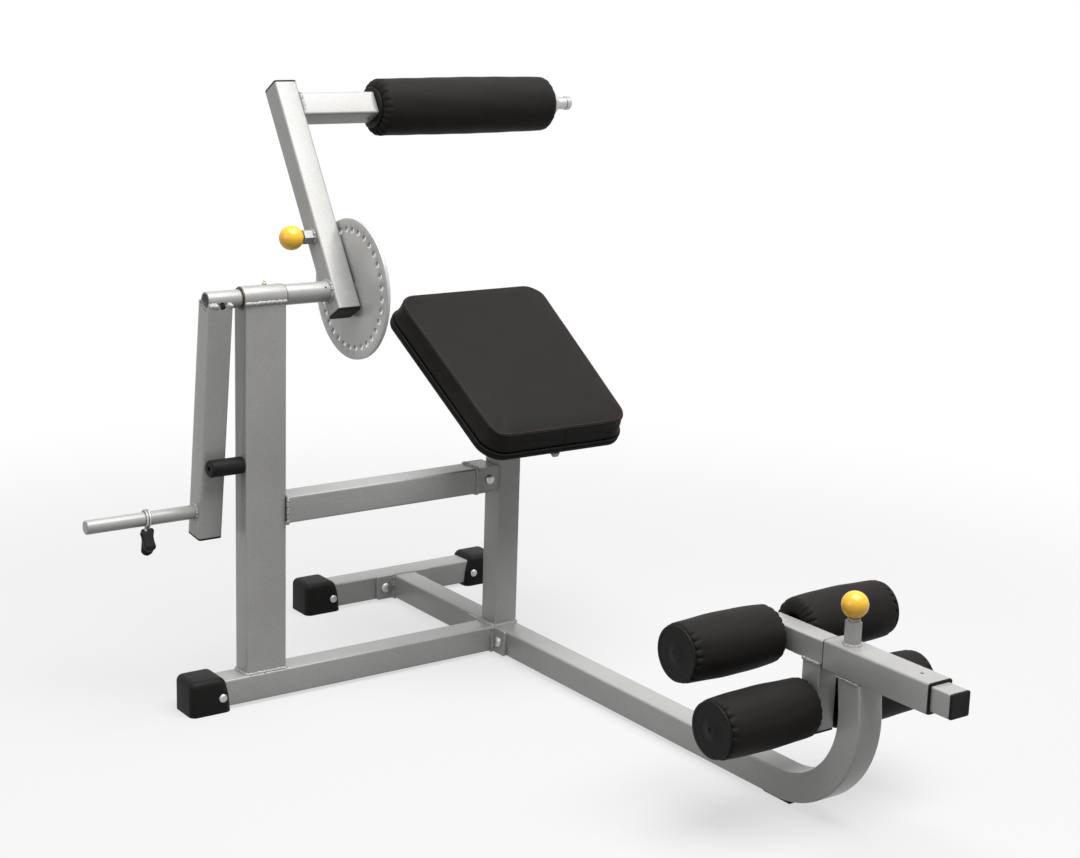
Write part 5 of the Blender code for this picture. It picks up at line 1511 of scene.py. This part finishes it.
@dataclass
class HoleDisc(Assembly):
    """The disc with its ring of locating holes and its boss."""

    radius: float = 0.127
    count: int = 32
    hole: float = 0.0115
    boss: float = 0.050

    body = "lever"
    axes = SIZE.lever

    def form(self) -> NodeForm:
        """The node group that makes a disc with a ring of holes round a bore."""
        form = NodeForm("hole_ring", "Disc Radius", "Ring Radius", "Hole Radius", "Bore Radius",
                        "Thickness", "Phase", Count="Int")
        rim_line, hole, bore = (form.node("GeometryNodeCurvePrimitiveCircle", {
            "Resolution": steps, "Radius": form.given(f"{label} Radius")}, "Curve")
            for label, steps in (("Disc", 180), ("Hole", 24), ("Bore", 64)))
        ring = form.node("GeometryNodeMeshCircle", {
            "Vertices": form.given("Count"), "Radius": form.given("Ring Radius")})
        phase = form.node("ShaderNodeCombineXYZ", {"Z": form.given("Phase")})
        places = form.node("GeometryNodeTransform", {"Geometry": ring, "Rotation": phase})
        holes = form.realized(form.node("GeometryNodeInstanceOnPoints", {
            "Points": places, "Instance": hole}))
        face = form.node("GeometryNodeFillCurve", {"Curve": form.node(
            "GeometryNodeJoinGeometry", {"Geometry": [rim_line, holes, bore]})})
        thick = form.node("GeometryNodeExtrudeMesh", {
            "Mesh": face, "Offset Scale": form.given("Thickness"), "Individual": False})
        back = form.node("GeometryNodeFlipFaces", {"Mesh": face})
        return form.close(form.node("GeometryNodeJoinGeometry", {"Geometry": [thick, back]}))

    def build(self) -> None:
        """Make the disc and its boss."""
        # The disc takes the lighter copy of the paint, as painted light.
        look = self.finish.bright
        mesh = self.form().run(bpy.data.meshes.new("disc"), {
            "Disc Radius": self.radius, "Ring Radius": SIZE.hole_circle,
            "Hole Radius": self.hole / 2, "Bore Radius": SIZE.shaft / 2 + GAP,
            "Thickness": SIZE.disc, "Phase": math.pi - SIZE.arm_lean, "Count": self.count,
            "Paint": look.material})
        softened = modified(linked("disc", mesh), "BEVEL", width=0.0005, segments=2,
                            limit_method="ANGLE", angle_limit=math.radians(50))
        place = self.at(SIZE.disc_left - SIZE.upright_x, 0, 0, Turn.RIGHT)
        part = self.part("hole_disc", evaluated(softened), place, look)
        part.beside(ring_mesh(self.boss, SIZE.shaft + 2 * GAP, SIZE.boss_length + 0.002), placed(
            place, (0, 0, SIZE.disc + SIZE.boss_length / 2 - 0.001))).done()
        self.weld(circle(self.boss + 0.001, 60), placed(place, (0, 0, SIZE.disc + 0.0006)))


@dataclass
class PullPin(Assembly):
    """A pull pin with its ball knob, along local Z from its barrel's foot."""

    body: str
    axes: Matrix
    barrel: float
    nose: float
    knob: float
    pin: float = 0.010

    def build(self) -> None:
        """Make the rod and the knob."""
        seat = self.barrel + GAP
        top = seat + KNOB_SOCKET
        self.part(f"{self.body}_rod", rod_mesh(self.pin, top - self.nose, 0.0014, FINE),
                  self.at(0, 0, (top + self.nose) / 2), self.finish.pin).done()
        self.part(f"{self.body}_knob", knob_mesh(self.knob, self.pin),
                  self.at(0, 0, seat + self.knob / 2 * math.cos(KNOB_FLAT)),
                  self.finish.yellow).done()


@dataclass
class UpperArm(Assembly):
    """The arm tube with its pin barrel and plugs, its hub, the cross tube and the bar."""

    above: float = 0.409
    below: float = 0.046
    barrel: float = 0.021
    hub: float = 0.037
    bar: float = 0.027
    bar_end: float = 0.270
    bar_edge: float = 0.0018
    bar_neck: float = 0.0016
    bar_collar: float = 0.040
    bar_collar_length: float = 0.019
    chest_length: float = 0.405
    bar_inside: float = 0.060
    set_screw: float = 0.004
    set_screw_inset: float = 0.012
    drain: float = 0.006
    drain_inset: float = 0.010

    body = "arm"
    axes = SIZE.arm

    def along(self, x: float, z: float = 0.0) -> Matrix:
        """A place that looks right, its X counted from the machine's middle."""
        return self.at(x - SIZE.arm_x, 0, z, Turn.RIGHT)

    def build(self) -> None:
        """Make every piece of the upper arm."""
        top = self.above - SIZE.plug_lip - GAP
        bottom = -self.below + SIZE.plug_lip + GAP
        part = self.part("upper_arm", tube_mesh(SIZE.arm_tube, top - bottom),
                         self.at(0, 0, (top + bottom) / 2))
        part.beside(hex_mesh(SIZE.barrel_flats, self.barrel),
                    self.along(SIZE.arm_left - self.barrel / 2, SIZE.hole_circle)).done()
        self.weld(circle(SIZE.barrel_flats + 0.001, 36),
                  self.along(SIZE.arm_left, SIZE.hole_circle))
        for name, z, turn in (("top", top + GAP, Turn.UP), ("bottom", bottom - GAP, Turn.DOWN)):
            self.part(f"arm_plug_{name}", plug_mesh(SIZE.arm_tube), self.at(0, 0, z, turn),
                      self.finish.plastic).done()
        part = self.part("arm_hub", ring_mesh(self.hub, SIZE.shaft + 2 * GAP, SIZE.arm_hub),
                         self.along(SIZE.arm_left - GAP - SIZE.arm_hub / 2))
        part.cut(drill_mesh(self.set_screw, self.hub), self.at(
            SIZE.arm_left - self.set_screw_inset - SIZE.arm_x, -self.hub / 2, 0,
            Turn.REAR)).done()
        self.weld(circle(self.hub + 0.001, 48), self.along(SIZE.arm_left))
        self.cross()
        self.roller_bar()

    def cross(self) -> None:
        """The tube across to the chest roller, closed by a plate."""
        reach, end = SIZE.cross_reach, SIZE.cross_right - 0.002
        part = self.part("cross_tube", tube_mesh(SIZE.arm_tube, SIZE.cross_length),
                         self.along((SIZE.cross_left + SIZE.cross_right) / 2, reach))
        part.cut(drill_mesh(self.drain, SIZE.tube / 2), self.at(
            end - SIZE.arm_x - self.drain_inset, 0, reach - SIZE.arm_tube / 2))
        lid = SIZE.arm_tube - 0.003
        part.beside(soft_plate(lid, lid, thickness=0.0034, corner=0.002),
                    self.along(end, reach)).done()
        self.tube_weld(self.along(SIZE.cross_left, reach), SIZE.arm_tube)

    def roller_bar(self) -> None:
        """The roller's bar, with the collar that keeps the roller on it."""
        left = SIZE.cross_right - self.bar_inside
        collar = SIZE.cross_right + GAP + self.chest_length + GAP
        radius, ring, edge, end = self.bar / 2, self.bar_collar / 2, self.bar_edge, self.bar_end
        last = collar + self.bar_collar_length
        neck = radius - self.bar_neck
        profile = [(0.0, end), *arc((radius - edge, end - edge), edge, 90, 0),
                   (radius, end - 0.010), (neck, end - 0.0112), (neck, last),
                   *arc((ring - 0.001, last - 0.001), 0.001, 90, 0),
                   (ring, collar), (radius, collar), (radius, left), (0.0, left)]
        self.part("chest_bar", turned_mesh(profile), self.along(0, SIZE.cross_reach),
                  self.finish.steel).done()


@dataclass
class Roller(Assembly):
    """A foam roller in a gathered cover, with its core and end discs, along local Z."""

    body: str
    axes: Matrix
    diameter: float
    length: float
    bar: float
    disc: float
    closed: bool
    seed: int
    disc_wall: float = 0.004
    core_wall: float = 0.0035
    shoulder: float = 0.008
    wrap_shoulder: float = 0.015
    wrap_mouth: float = 0.026
    crown: float = 0.0010
    gathers: int = 22
    gather_depth: float = 0.0046
    gather_length: float = 0.016
    far_gather: float = 1.0
    seam: float = 2.6
    seam_lift: float = 0.0010
    seam_spread: float = 0.016
    slack: float = 0.00045

    def build(self) -> None:
        """Make the cover and the core."""
        self.trim(f"{self.body}_cover", self.cover(), self.axes, self.finish.cover,
                            replaces=(f"{self.body}_foam",), smooth=SOFT_ANGLE)
        self.part(f"{self.body}_core", self.core(), self.axes, self.finish.plastic).done()

    def end(self, wrapped: bool) -> Loop:
        """One end of the cover's outer profile, from its mouth to its full radius.

        Args:
            wrapped: Whether the cover is drawn over the end, with no disc to be seen.

        Returns:
            Points as (radius, height), with the height above the roller's middle.
        """
        radius = self.diameter / 2 - 0.0012
        mouth = self.bar / 2 + 3 * GAP + self.core_wall
        if wrapped:
            half, inner, shoulder = self.length / 2 - 0.0006, self.wrap_mouth, self.wrap_shoulder
            points = [(mouth, half - 0.008), (mouth + 0.003, half - 0.004)]
        else:
            half, shoulder = self.length / 2 - self.disc_wall - GAP, self.shoulder
            inner = min(self.disc / 2 - 0.003, radius - 0.004)
            points = [(mouth, half - 0.001), (mouth + 0.004, half - 0.0002)]
        return points + [(inner + (radius - inner) * math.sin(turn),
                          half - shoulder * (1 - math.cos(turn)))
                         for turn in (math.pi / 18 * step for step in range(10))]

    def profile(self) -> Loop:
        """The cover's outer profile from one mouth to the other, as (radius, height)."""
        upper, lower = self.end(False), self.end(self.closed)
        radius, top = upper[-1]
        span = top + lower[-1][1]
        steps = max(int(span / 0.006), 8)
        middle = [(radius + self.crown * math.sin(math.pi * step / steps),
                   top - span * step / steps)
                  for step in range(1, steps)]
        return upper + middle + [(r, -z) for r, z in reversed(lower)]

    def cover(self) -> Mesh:
        """The sewn cover: turned, filled by a cloth simulation, then gathered at its ends."""
        mesh = turned_mesh(self.profile(), 6 * self.gathers, closed=True)
        co = points_of(mesh)
        near = np.hypot(co[:, 0], co[:, 1]) < self.bar / 2 + 0.012
        mesh = filled(mesh, near, 3.0, 0.0014, 1.0, 12)
        co = points_of(mesh)
        radius, angle = np.hypot(co[:, 0], co[:, 1]), np.arctan2(co[:, 1], co[:, 0])
        phase = np.random.default_rng(self.seed).uniform(0, 2 * np.pi, 8)
        jitter = sum(np.sin(angle * order + phase[index]) * 0.9 / order
                     for index, order in enumerate((2, 3, 5)))
        wave = 0.5 + 0.5 * np.cos(self.gathers * angle + 2.0 * jitter)
        half = self.length / 2 - self.disc_wall
        outside = np.clip((radius - self.bar / 2 - 0.006) / 0.010, 0, 1)
        pull = np.zeros(len(co))
        for side, first, share in ((1, 3, self.far_gather), (-1, 5, 1.0)):
            reach = self.gather_length * (0.75 + 0.35 * np.sin(5 * angle + phase[first])
                                          * np.sin(3 * angle + phase[first + 1]))
            ends = np.clip((side * co[:, 2] - half + reach) / reach, 0, 1)
            uneven = 0.75 + 0.25 * np.sin(2 * angle + phase[first + 2])
            pull += share * self.gather_depth * (wave**2.5 - 0.18) * ends * uneven
        folds = np.sin(angle * 3 + co[:, 2] * 34 + phase[1]) * np.sin(angle * 5 - co[:, 2] * 55)
        pull = (pull + self.slack * folds) * outside
        turned = np.angle(np.exp(1j * (angle - self.seam)))
        pull += self.seam_lift * np.exp(-(turned / self.seam_spread) ** 2) * outside
        co[:, :2] *= (1 - pull / np.maximum(radius, 1e-6))[:, None]
        move_points(mesh, co)
        return mesh

    def core(self) -> Mesh:
        """The tube on the bar with an end disc on each side of the foam."""
        half, edge = self.length / 2, self.disc / 2
        bore = self.bar / 2 + GAP
        hub, wall, round_edge = bore + self.core_wall, half - self.disc_wall, 0.0012
        outer = arc((edge - round_edge, half - round_edge), round_edge, 90, 0)
        dished = [(edge - 0.007, half - 0.0008), (edge - 0.006, half)]
        upper = dished + outer + [(edge - 0.0006, wall), (hub, wall)]
        mouth = [(bore, half), (bore + 0.003, half), (bore + 0.004, half - 0.0008)]
        if not self.closed:
            return turned_mesh(mouth + upper + [(r, -z) for r, z in reversed(mouth + upper)],
                               closed=True)
        middle = [(0.0, 0.0014), (0.005, 0.0014), (0.0062, 0.0004), (0.012, 0.0004),
                  (0.0128, 0.0008), (0.024, 0.0008), (0.0246, 0.0003), (0.0252, 0.0008)]
        return turned_mesh([(r, half - depth) for r, depth in middle] + upper
                           + [(hub, -wall), (hub, -half), (bore, -half), (bore, wall),
                              (0.0, wall)])


@dataclass
class CarriageSleeve(Assembly):
    """The sleeve on the leg, with its pin barrel and its two liners."""

    length: float = 0.2225
    rear: float = -0.928
    liner: float = 0.028
    liner_lip: float = 0.002
    barrel: float = 0.044
    barrel_neck: float = 0.005
    neck_width: float = 0.0205
    pin: float = 0.010
    drain: float = 0.006
    drain_inset: float = 0.0365
    leg_weld: float = 0.45

    body = "frame"
    axes = SIZE.world

    def build(self) -> None:
        """Make the sleeve and its liners."""
        top = SIZE.carriage_z + SIZE.tube / 2
        front = self.rear - self.length
        part = self.part("carriage_sleeve", tube_mesh(SIZE.tube, self.length), self.at(
            0, (self.rear + front) / 2, SIZE.carriage_z, Turn.REAR))
        part.cut(drill_mesh(self.drain, 0.010), self.at(0, front + self.drain_inset, top))
        part.cut(drill_mesh(self.pin + 2 * GAP, 0.012), self.at(0, SIZE.carriage_pin_y, top))
        part.beside(self.barrel_mesh(),
                    self.at(0, SIZE.carriage_pin_y, top + self.barrel / 2)).done()
        self.weld(circle(SIZE.barrel_flats + 0.001, 36), self.at(0, SIZE.carriage_pin_y, top))
        leg = FloorFrame(self.finish, self.welds, self.stitches).leg_path()
        self.tube_weld(self.at(0, leg[-1][0] + 0.002, SIZE.carriage_z - SIZE.tube / 2),
                       weight=self.leg_weld)
        for name, y, turn in (("rear", self.rear + GAP, Turn.REAR),
                              ("front", front - GAP, Turn.FRONT)):
            self.liner_piece(name, self.at(0, y, SIZE.carriage_z, turn))

    def barrel_mesh(self) -> Mesh:
        """The hexagonal pin barrel with its round neck and its bore."""
        half, neck = self.barrel / 2, self.barrel_neck
        obj = linked("barrel", hex_mesh(SIZE.barrel_flats, self.barrel - neck, 0.0012),
                     Matrix.Translation((0, 0, -neck / 2)))
        obj = reshaped(obj, "UNION", rod_mesh(self.neck_width, neck + 0.004, 0.0012, FINE),
                       Matrix.Translation((0, 0, half - neck / 2 - 0.002)))
        obj = reshaped(obj, "DIFFERENCE", drill_mesh(self.pin + 2 * GAP, 4 * half),
                       Matrix.Identity(4))
        mesh = evaluated(obj)
        mesh.transform(Matrix.Translation((0, 0, -neck / 2)))
        return mesh

    def liner_piece(self, name: str, matrix: Matrix) -> None:
        """A plastic liner: its lip shows and its body goes into the sleeve."""
        inside = square(SIZE.carriage_tube + 2 * GAP, SIZE.carriage_corner)
        body = square(SIZE.tube - 2 * SIZE.wall - 2 * GAP, 0.002)
        lip = outline_mesh([square(SIZE.tube - 0.001), inside], self.liner_lip)
        part = self.part(f"sleeve_liner_{name}", lip, placed(
            matrix, (0, 0, self.liner_lip / 2)), self.finish.plastic)
        part.beside(outline_mesh([body, inside], self.liner),
                    placed(matrix, (0, 0, -self.liner / 2))).done()


@dataclass
class Carriage(Assembly):
    """The sliding tube with its pin holes, its drop tube and the four foot rollers."""

    rib: float = 0.0018
    pin: float = 0.010
    hole_step: float = 0.040
    holes: int = 5
    inner_rear: float = -0.780 - SIZE.carriage_pin_y
    inner_front: float = -1.190 - SIZE.carriage_pin_y
    upper_bar_y: float = -0.805 - SIZE.carriage_pin_y
    drop_y: float = -0.897 - SIZE.carriage_pin_y
    drop_bottom: float = 0.141 - SIZE.carriage_z
    lower_bar_z: float = 0.184 - SIZE.carriage_z
    foot_bar: float = 0.025
    roller_length: float = 0.200
    roller_start: float = SIZE.carriage_tube / 2 + 0.0035
    roller: float = 0.100
    roller_disc: float = 0.092
    roller_crown: float = 0.0030

    body = "carriage"
    axes = SIZE.carriage

    def build(self) -> None:
        """Make every piece of the carriage."""
        self.inner()
        self.drop()
        self.rollers()

    def tube(self, name: str, length: float, place: Matrix) -> Part:
        """A piece of the carriage's square tube."""
        return self.part(name, tube_mesh(SIZE.carriage_tube, length, SIZE.carriage_corner), place)

    def plug(self, name: str, place: Matrix) -> Part:
        """A plug for the carriage's square tube."""
        return self.part(name, plug_mesh(SIZE.carriage_tube, SIZE.carriage_corner), place,
                         self.finish.plastic)

    def add_bar(self, part: Part, y: float, z: float) -> None:
        """Finish a tube with a roller bar through it."""
        length = 2 * (self.roller_start + self.roller_length - 0.004 - 2 * GAP)
        part.beside(rod_mesh(self.foot_bar, length, 0.001), self.at(0, y, z, Turn.RIGHT)).done()

    def bar_welds(self, y: float, z: float) -> None:
        """The beads round a roller bar on both sides of its tube."""
        for x in (-SIZE.carriage_tube / 2, SIZE.carriage_tube / 2):
            self.weld(circle(self.foot_bar + 0.001, 32), self.at(x, y, z, Turn.RIGHT))

    def inner(self) -> None:
        """The sliding tube with its row of pin holes, its plug and the upper bar."""
        part = self.tube("inner_tube", self.inner_rear - self.inner_front,
                         self.at(0, (self.inner_rear + self.inner_front) / 2, 0, Turn.REAR))
        for index in range(self.holes):
            part.cut(drill_mesh(self.pin + 4 * GAP, 0.010),
                     self.at(0, -index * self.hole_step, SIZE.carriage_tube / 2))
        self.add_bar(part, self.upper_bar_y, 0)
        at = self.at(0, self.inner_front - GAP, 0, Turn.FRONT)
        rib = rod_mesh(self.rib, SIZE.carriage_tube - 0.010, self.rib / 3, FINE)
        self.plug("inner_plug", at).beside(
            rib, placed(at, (0, 0, SIZE.plug_lip - 0.0004), Turn.RIGHT)).done()
        self.bar_welds(self.upper_bar_y, 0)

    def drop(self) -> None:
        """The short tube under the sliding tube, with its plug and the lower bar."""
        bottom = self.drop_bottom + SIZE.plug_lip + GAP
        top = -SIZE.carriage_tube / 2 - GAP
        part = self.tube("drop_tube", top - bottom, self.at(0, self.drop_y, (top + bottom) / 2))
        self.add_bar(part, self.drop_y, self.lower_bar_z)
        self.plug("drop_plug", self.at(0, self.drop_y, bottom - GAP, Turn.DOWN)).done()
        self.tube_weld(self.at(0, self.drop_y, top), SIZE.carriage_tube - 0.001)
        self.bar_welds(self.drop_y, self.lower_bar_z)

    def rollers(self) -> None:
        """The four foot rollers, two on each bar."""
        offset = self.roller_start + self.roller_length / 2
        for level, y, z, seed in (("upper", self.upper_bar_y, 0, 8),
                                  ("lower", self.drop_y, self.lower_bar_z, 7)):
            for side, hand, turn in ((-1, "left", Turn.LEFT), (1, "right", Turn.RIGHT)):
                Roller(self.finish, self.welds, self.stitches, f"foot_roller_{level}_{hand}",
                       self.at(side * offset, y, z, turn), self.roller, self.roller_length,
                       self.foot_bar, self.roller_disc, True, seed + 2 * side,
                       crown=self.roller_crown).build()


@dataclass
class Studio:
    """The floor, the background, the soft lights and the camera at the photo's angle."""

    floor_material: Material
    eye: Point = (-1.84734, -2.65960, 1.34138)
    azimuth: float = math.radians(-36.05)
    elevation: float = math.radians(13.53)
    roll: float = math.radians(1.84)
    lens: float = 66.1
    floor_half: float = 14.0
    fill: float = 0.22

    def build(self) -> None:
        """Make the studio, with an overhead softbox and two weaker ones at the front."""
        self.floor()
        self.background()
        for name, at, aim, size, power in (
                ("overhead", (0.4, -1.0, 5.0), (0.1, 0.1, 0.5), 4.4, 522.0),
                ("front_left", (-4.2, 0.1, 1.9), (0.0, 0.0, 0.6), 2.2, 46.0),
                ("front_right", (3.0, -3.2, 2.4), (0.0, 0.0, 0.5), 2.2, 3.0)):
            self.lamp(name, at, aim, size, power)
        self.camera()

    def floor(self) -> None:
        """A wide plain floor."""
        mesh = bpy.data.meshes.new("floor")
        half = self.floor_half
        mesh.from_pydata([(-half, -half, 0), (half, -half, 0), (half, half, 0), (-half, half, 0)],
                         [], [(0, 1, 2, 3)])
        mesh.materials.append(self.floor_material)
        linked("studio_floor", mesh)

    def background(self) -> None:
        """A world that is white to the eye and in gloss, and gives a plain fill light."""
        world = bpy.data.worlds.new("studio_world")
        bpy.context.scene.world = world
        world.use_nodes = True
        make = Nodes(world.node_tree)
        fill, white = (make.node("ShaderNodeBackground", {
            "Color": (1.0, 1.0, 1.0, 1.0), "Strength": strength}) for strength in (self.fill, 1.0))
        make.node("ShaderNodeOutputWorld", {"Surface": make.either(make.seen(), fill, white)})

    def lamp(self, name: str, at: Point, aim: Point, size: float, power: float) -> None:
        """A square softbox that looks at a point."""
        data = assign(bpy.data.lights.new(name, "AREA"), shape="SQUARE", size=size, energy=power)
        obj = linked(name, data)
        obj.location = at
        obj.rotation_euler = (Vector(aim) - Vector(at)).to_track_quat("-Z", "Y").to_euler()

    def camera(self) -> None:
        """The camera, placed and turned as the photo's straight edges give."""
        across = Vector((math.sin(self.azimuth) * math.cos(self.elevation),
                         -math.cos(self.azimuth) * math.cos(self.elevation),
                         math.sin(self.elevation)))
        right = (-across).cross(Vector((0, 0, 1))).normalized()
        upward = right.cross(-across)
        turn_right = right * math.cos(self.roll) + upward * math.sin(self.roll)
        turn_up = upward * math.cos(self.roll) - right * math.sin(self.roll)
        data = assign(bpy.data.cameras.new("camera"), lens=self.lens, sensor_width=36.0,
                      clip_start=0.05, clip_end=100.0)
        pose = Matrix((turn_right, turn_up, across)).transposed().to_4x4()
        pose.translation = Vector(self.eye)
        bpy.context.scene.camera = linked("camera", data, pose)
        bpy.context.scene.view_settings.view_transform = "Standard"


def main() -> None:
    """Build every sub-assembly in order, then the studio."""
    logging.basicConfig(level=logging.INFO, format="%(message)s")
    finish = Finishes()
    welds = BeadRow(finish.paint, "weld_beads", 0.0033, 0.0033, 1.1)
    stitches = BeadRow(finish.thread, "stitches", 0.0062, 0.0008, 2.6, (0.9, 1.1), 0.0001)
    kit = (finish, welds, stitches)
    lever, arm, sleeve = WeightLever(*kit), UpperArm(*kit), CarriageSleeve(*kit)
    chest_x = SIZE.cross_right + GAP + arm.chest_length / 2
    pin_z = SIZE.tube / 2
    for piece in (
            FloorFrame(*kit), UprightFrame(*kit), Seat(*kit), lever, SpringCollar(*kit, lever),
            HoleDisc(*kit), arm,
            PullPin(*kit, "arm_pin", placed(SIZE.arm, (-SIZE.arm_tube / 2, 0, SIZE.hole_circle),
                                            Turn.LEFT), arm.barrel,
                    nose=GAP - SIZE.arm_tube - SIZE.disc_clearance, knob=0.044),
            Roller(*kit, "chest_roller", arm.along(chest_x, SIZE.cross_reach), diameter=0.109,
                   length=arm.chest_length, bar=arm.bar, disc=0.076, closed=False, seed=11,
                   shoulder=0.015, gather_depth=0.0085, gather_length=0.022, far_gather=0.35),
            sleeve, Carriage(*kit),
            PullPin(*kit, "carriage_pin", placed(SIZE.carriage, (0, 0, pin_z)), sleeve.barrel,
                    nose=SIZE.carriage_tube / 2 + GAP - pin_z, knob=0.0438),
            welds, stitches, Studio(finish.floor)):
        piece.build()


if __name__ == "__main__":
    main()
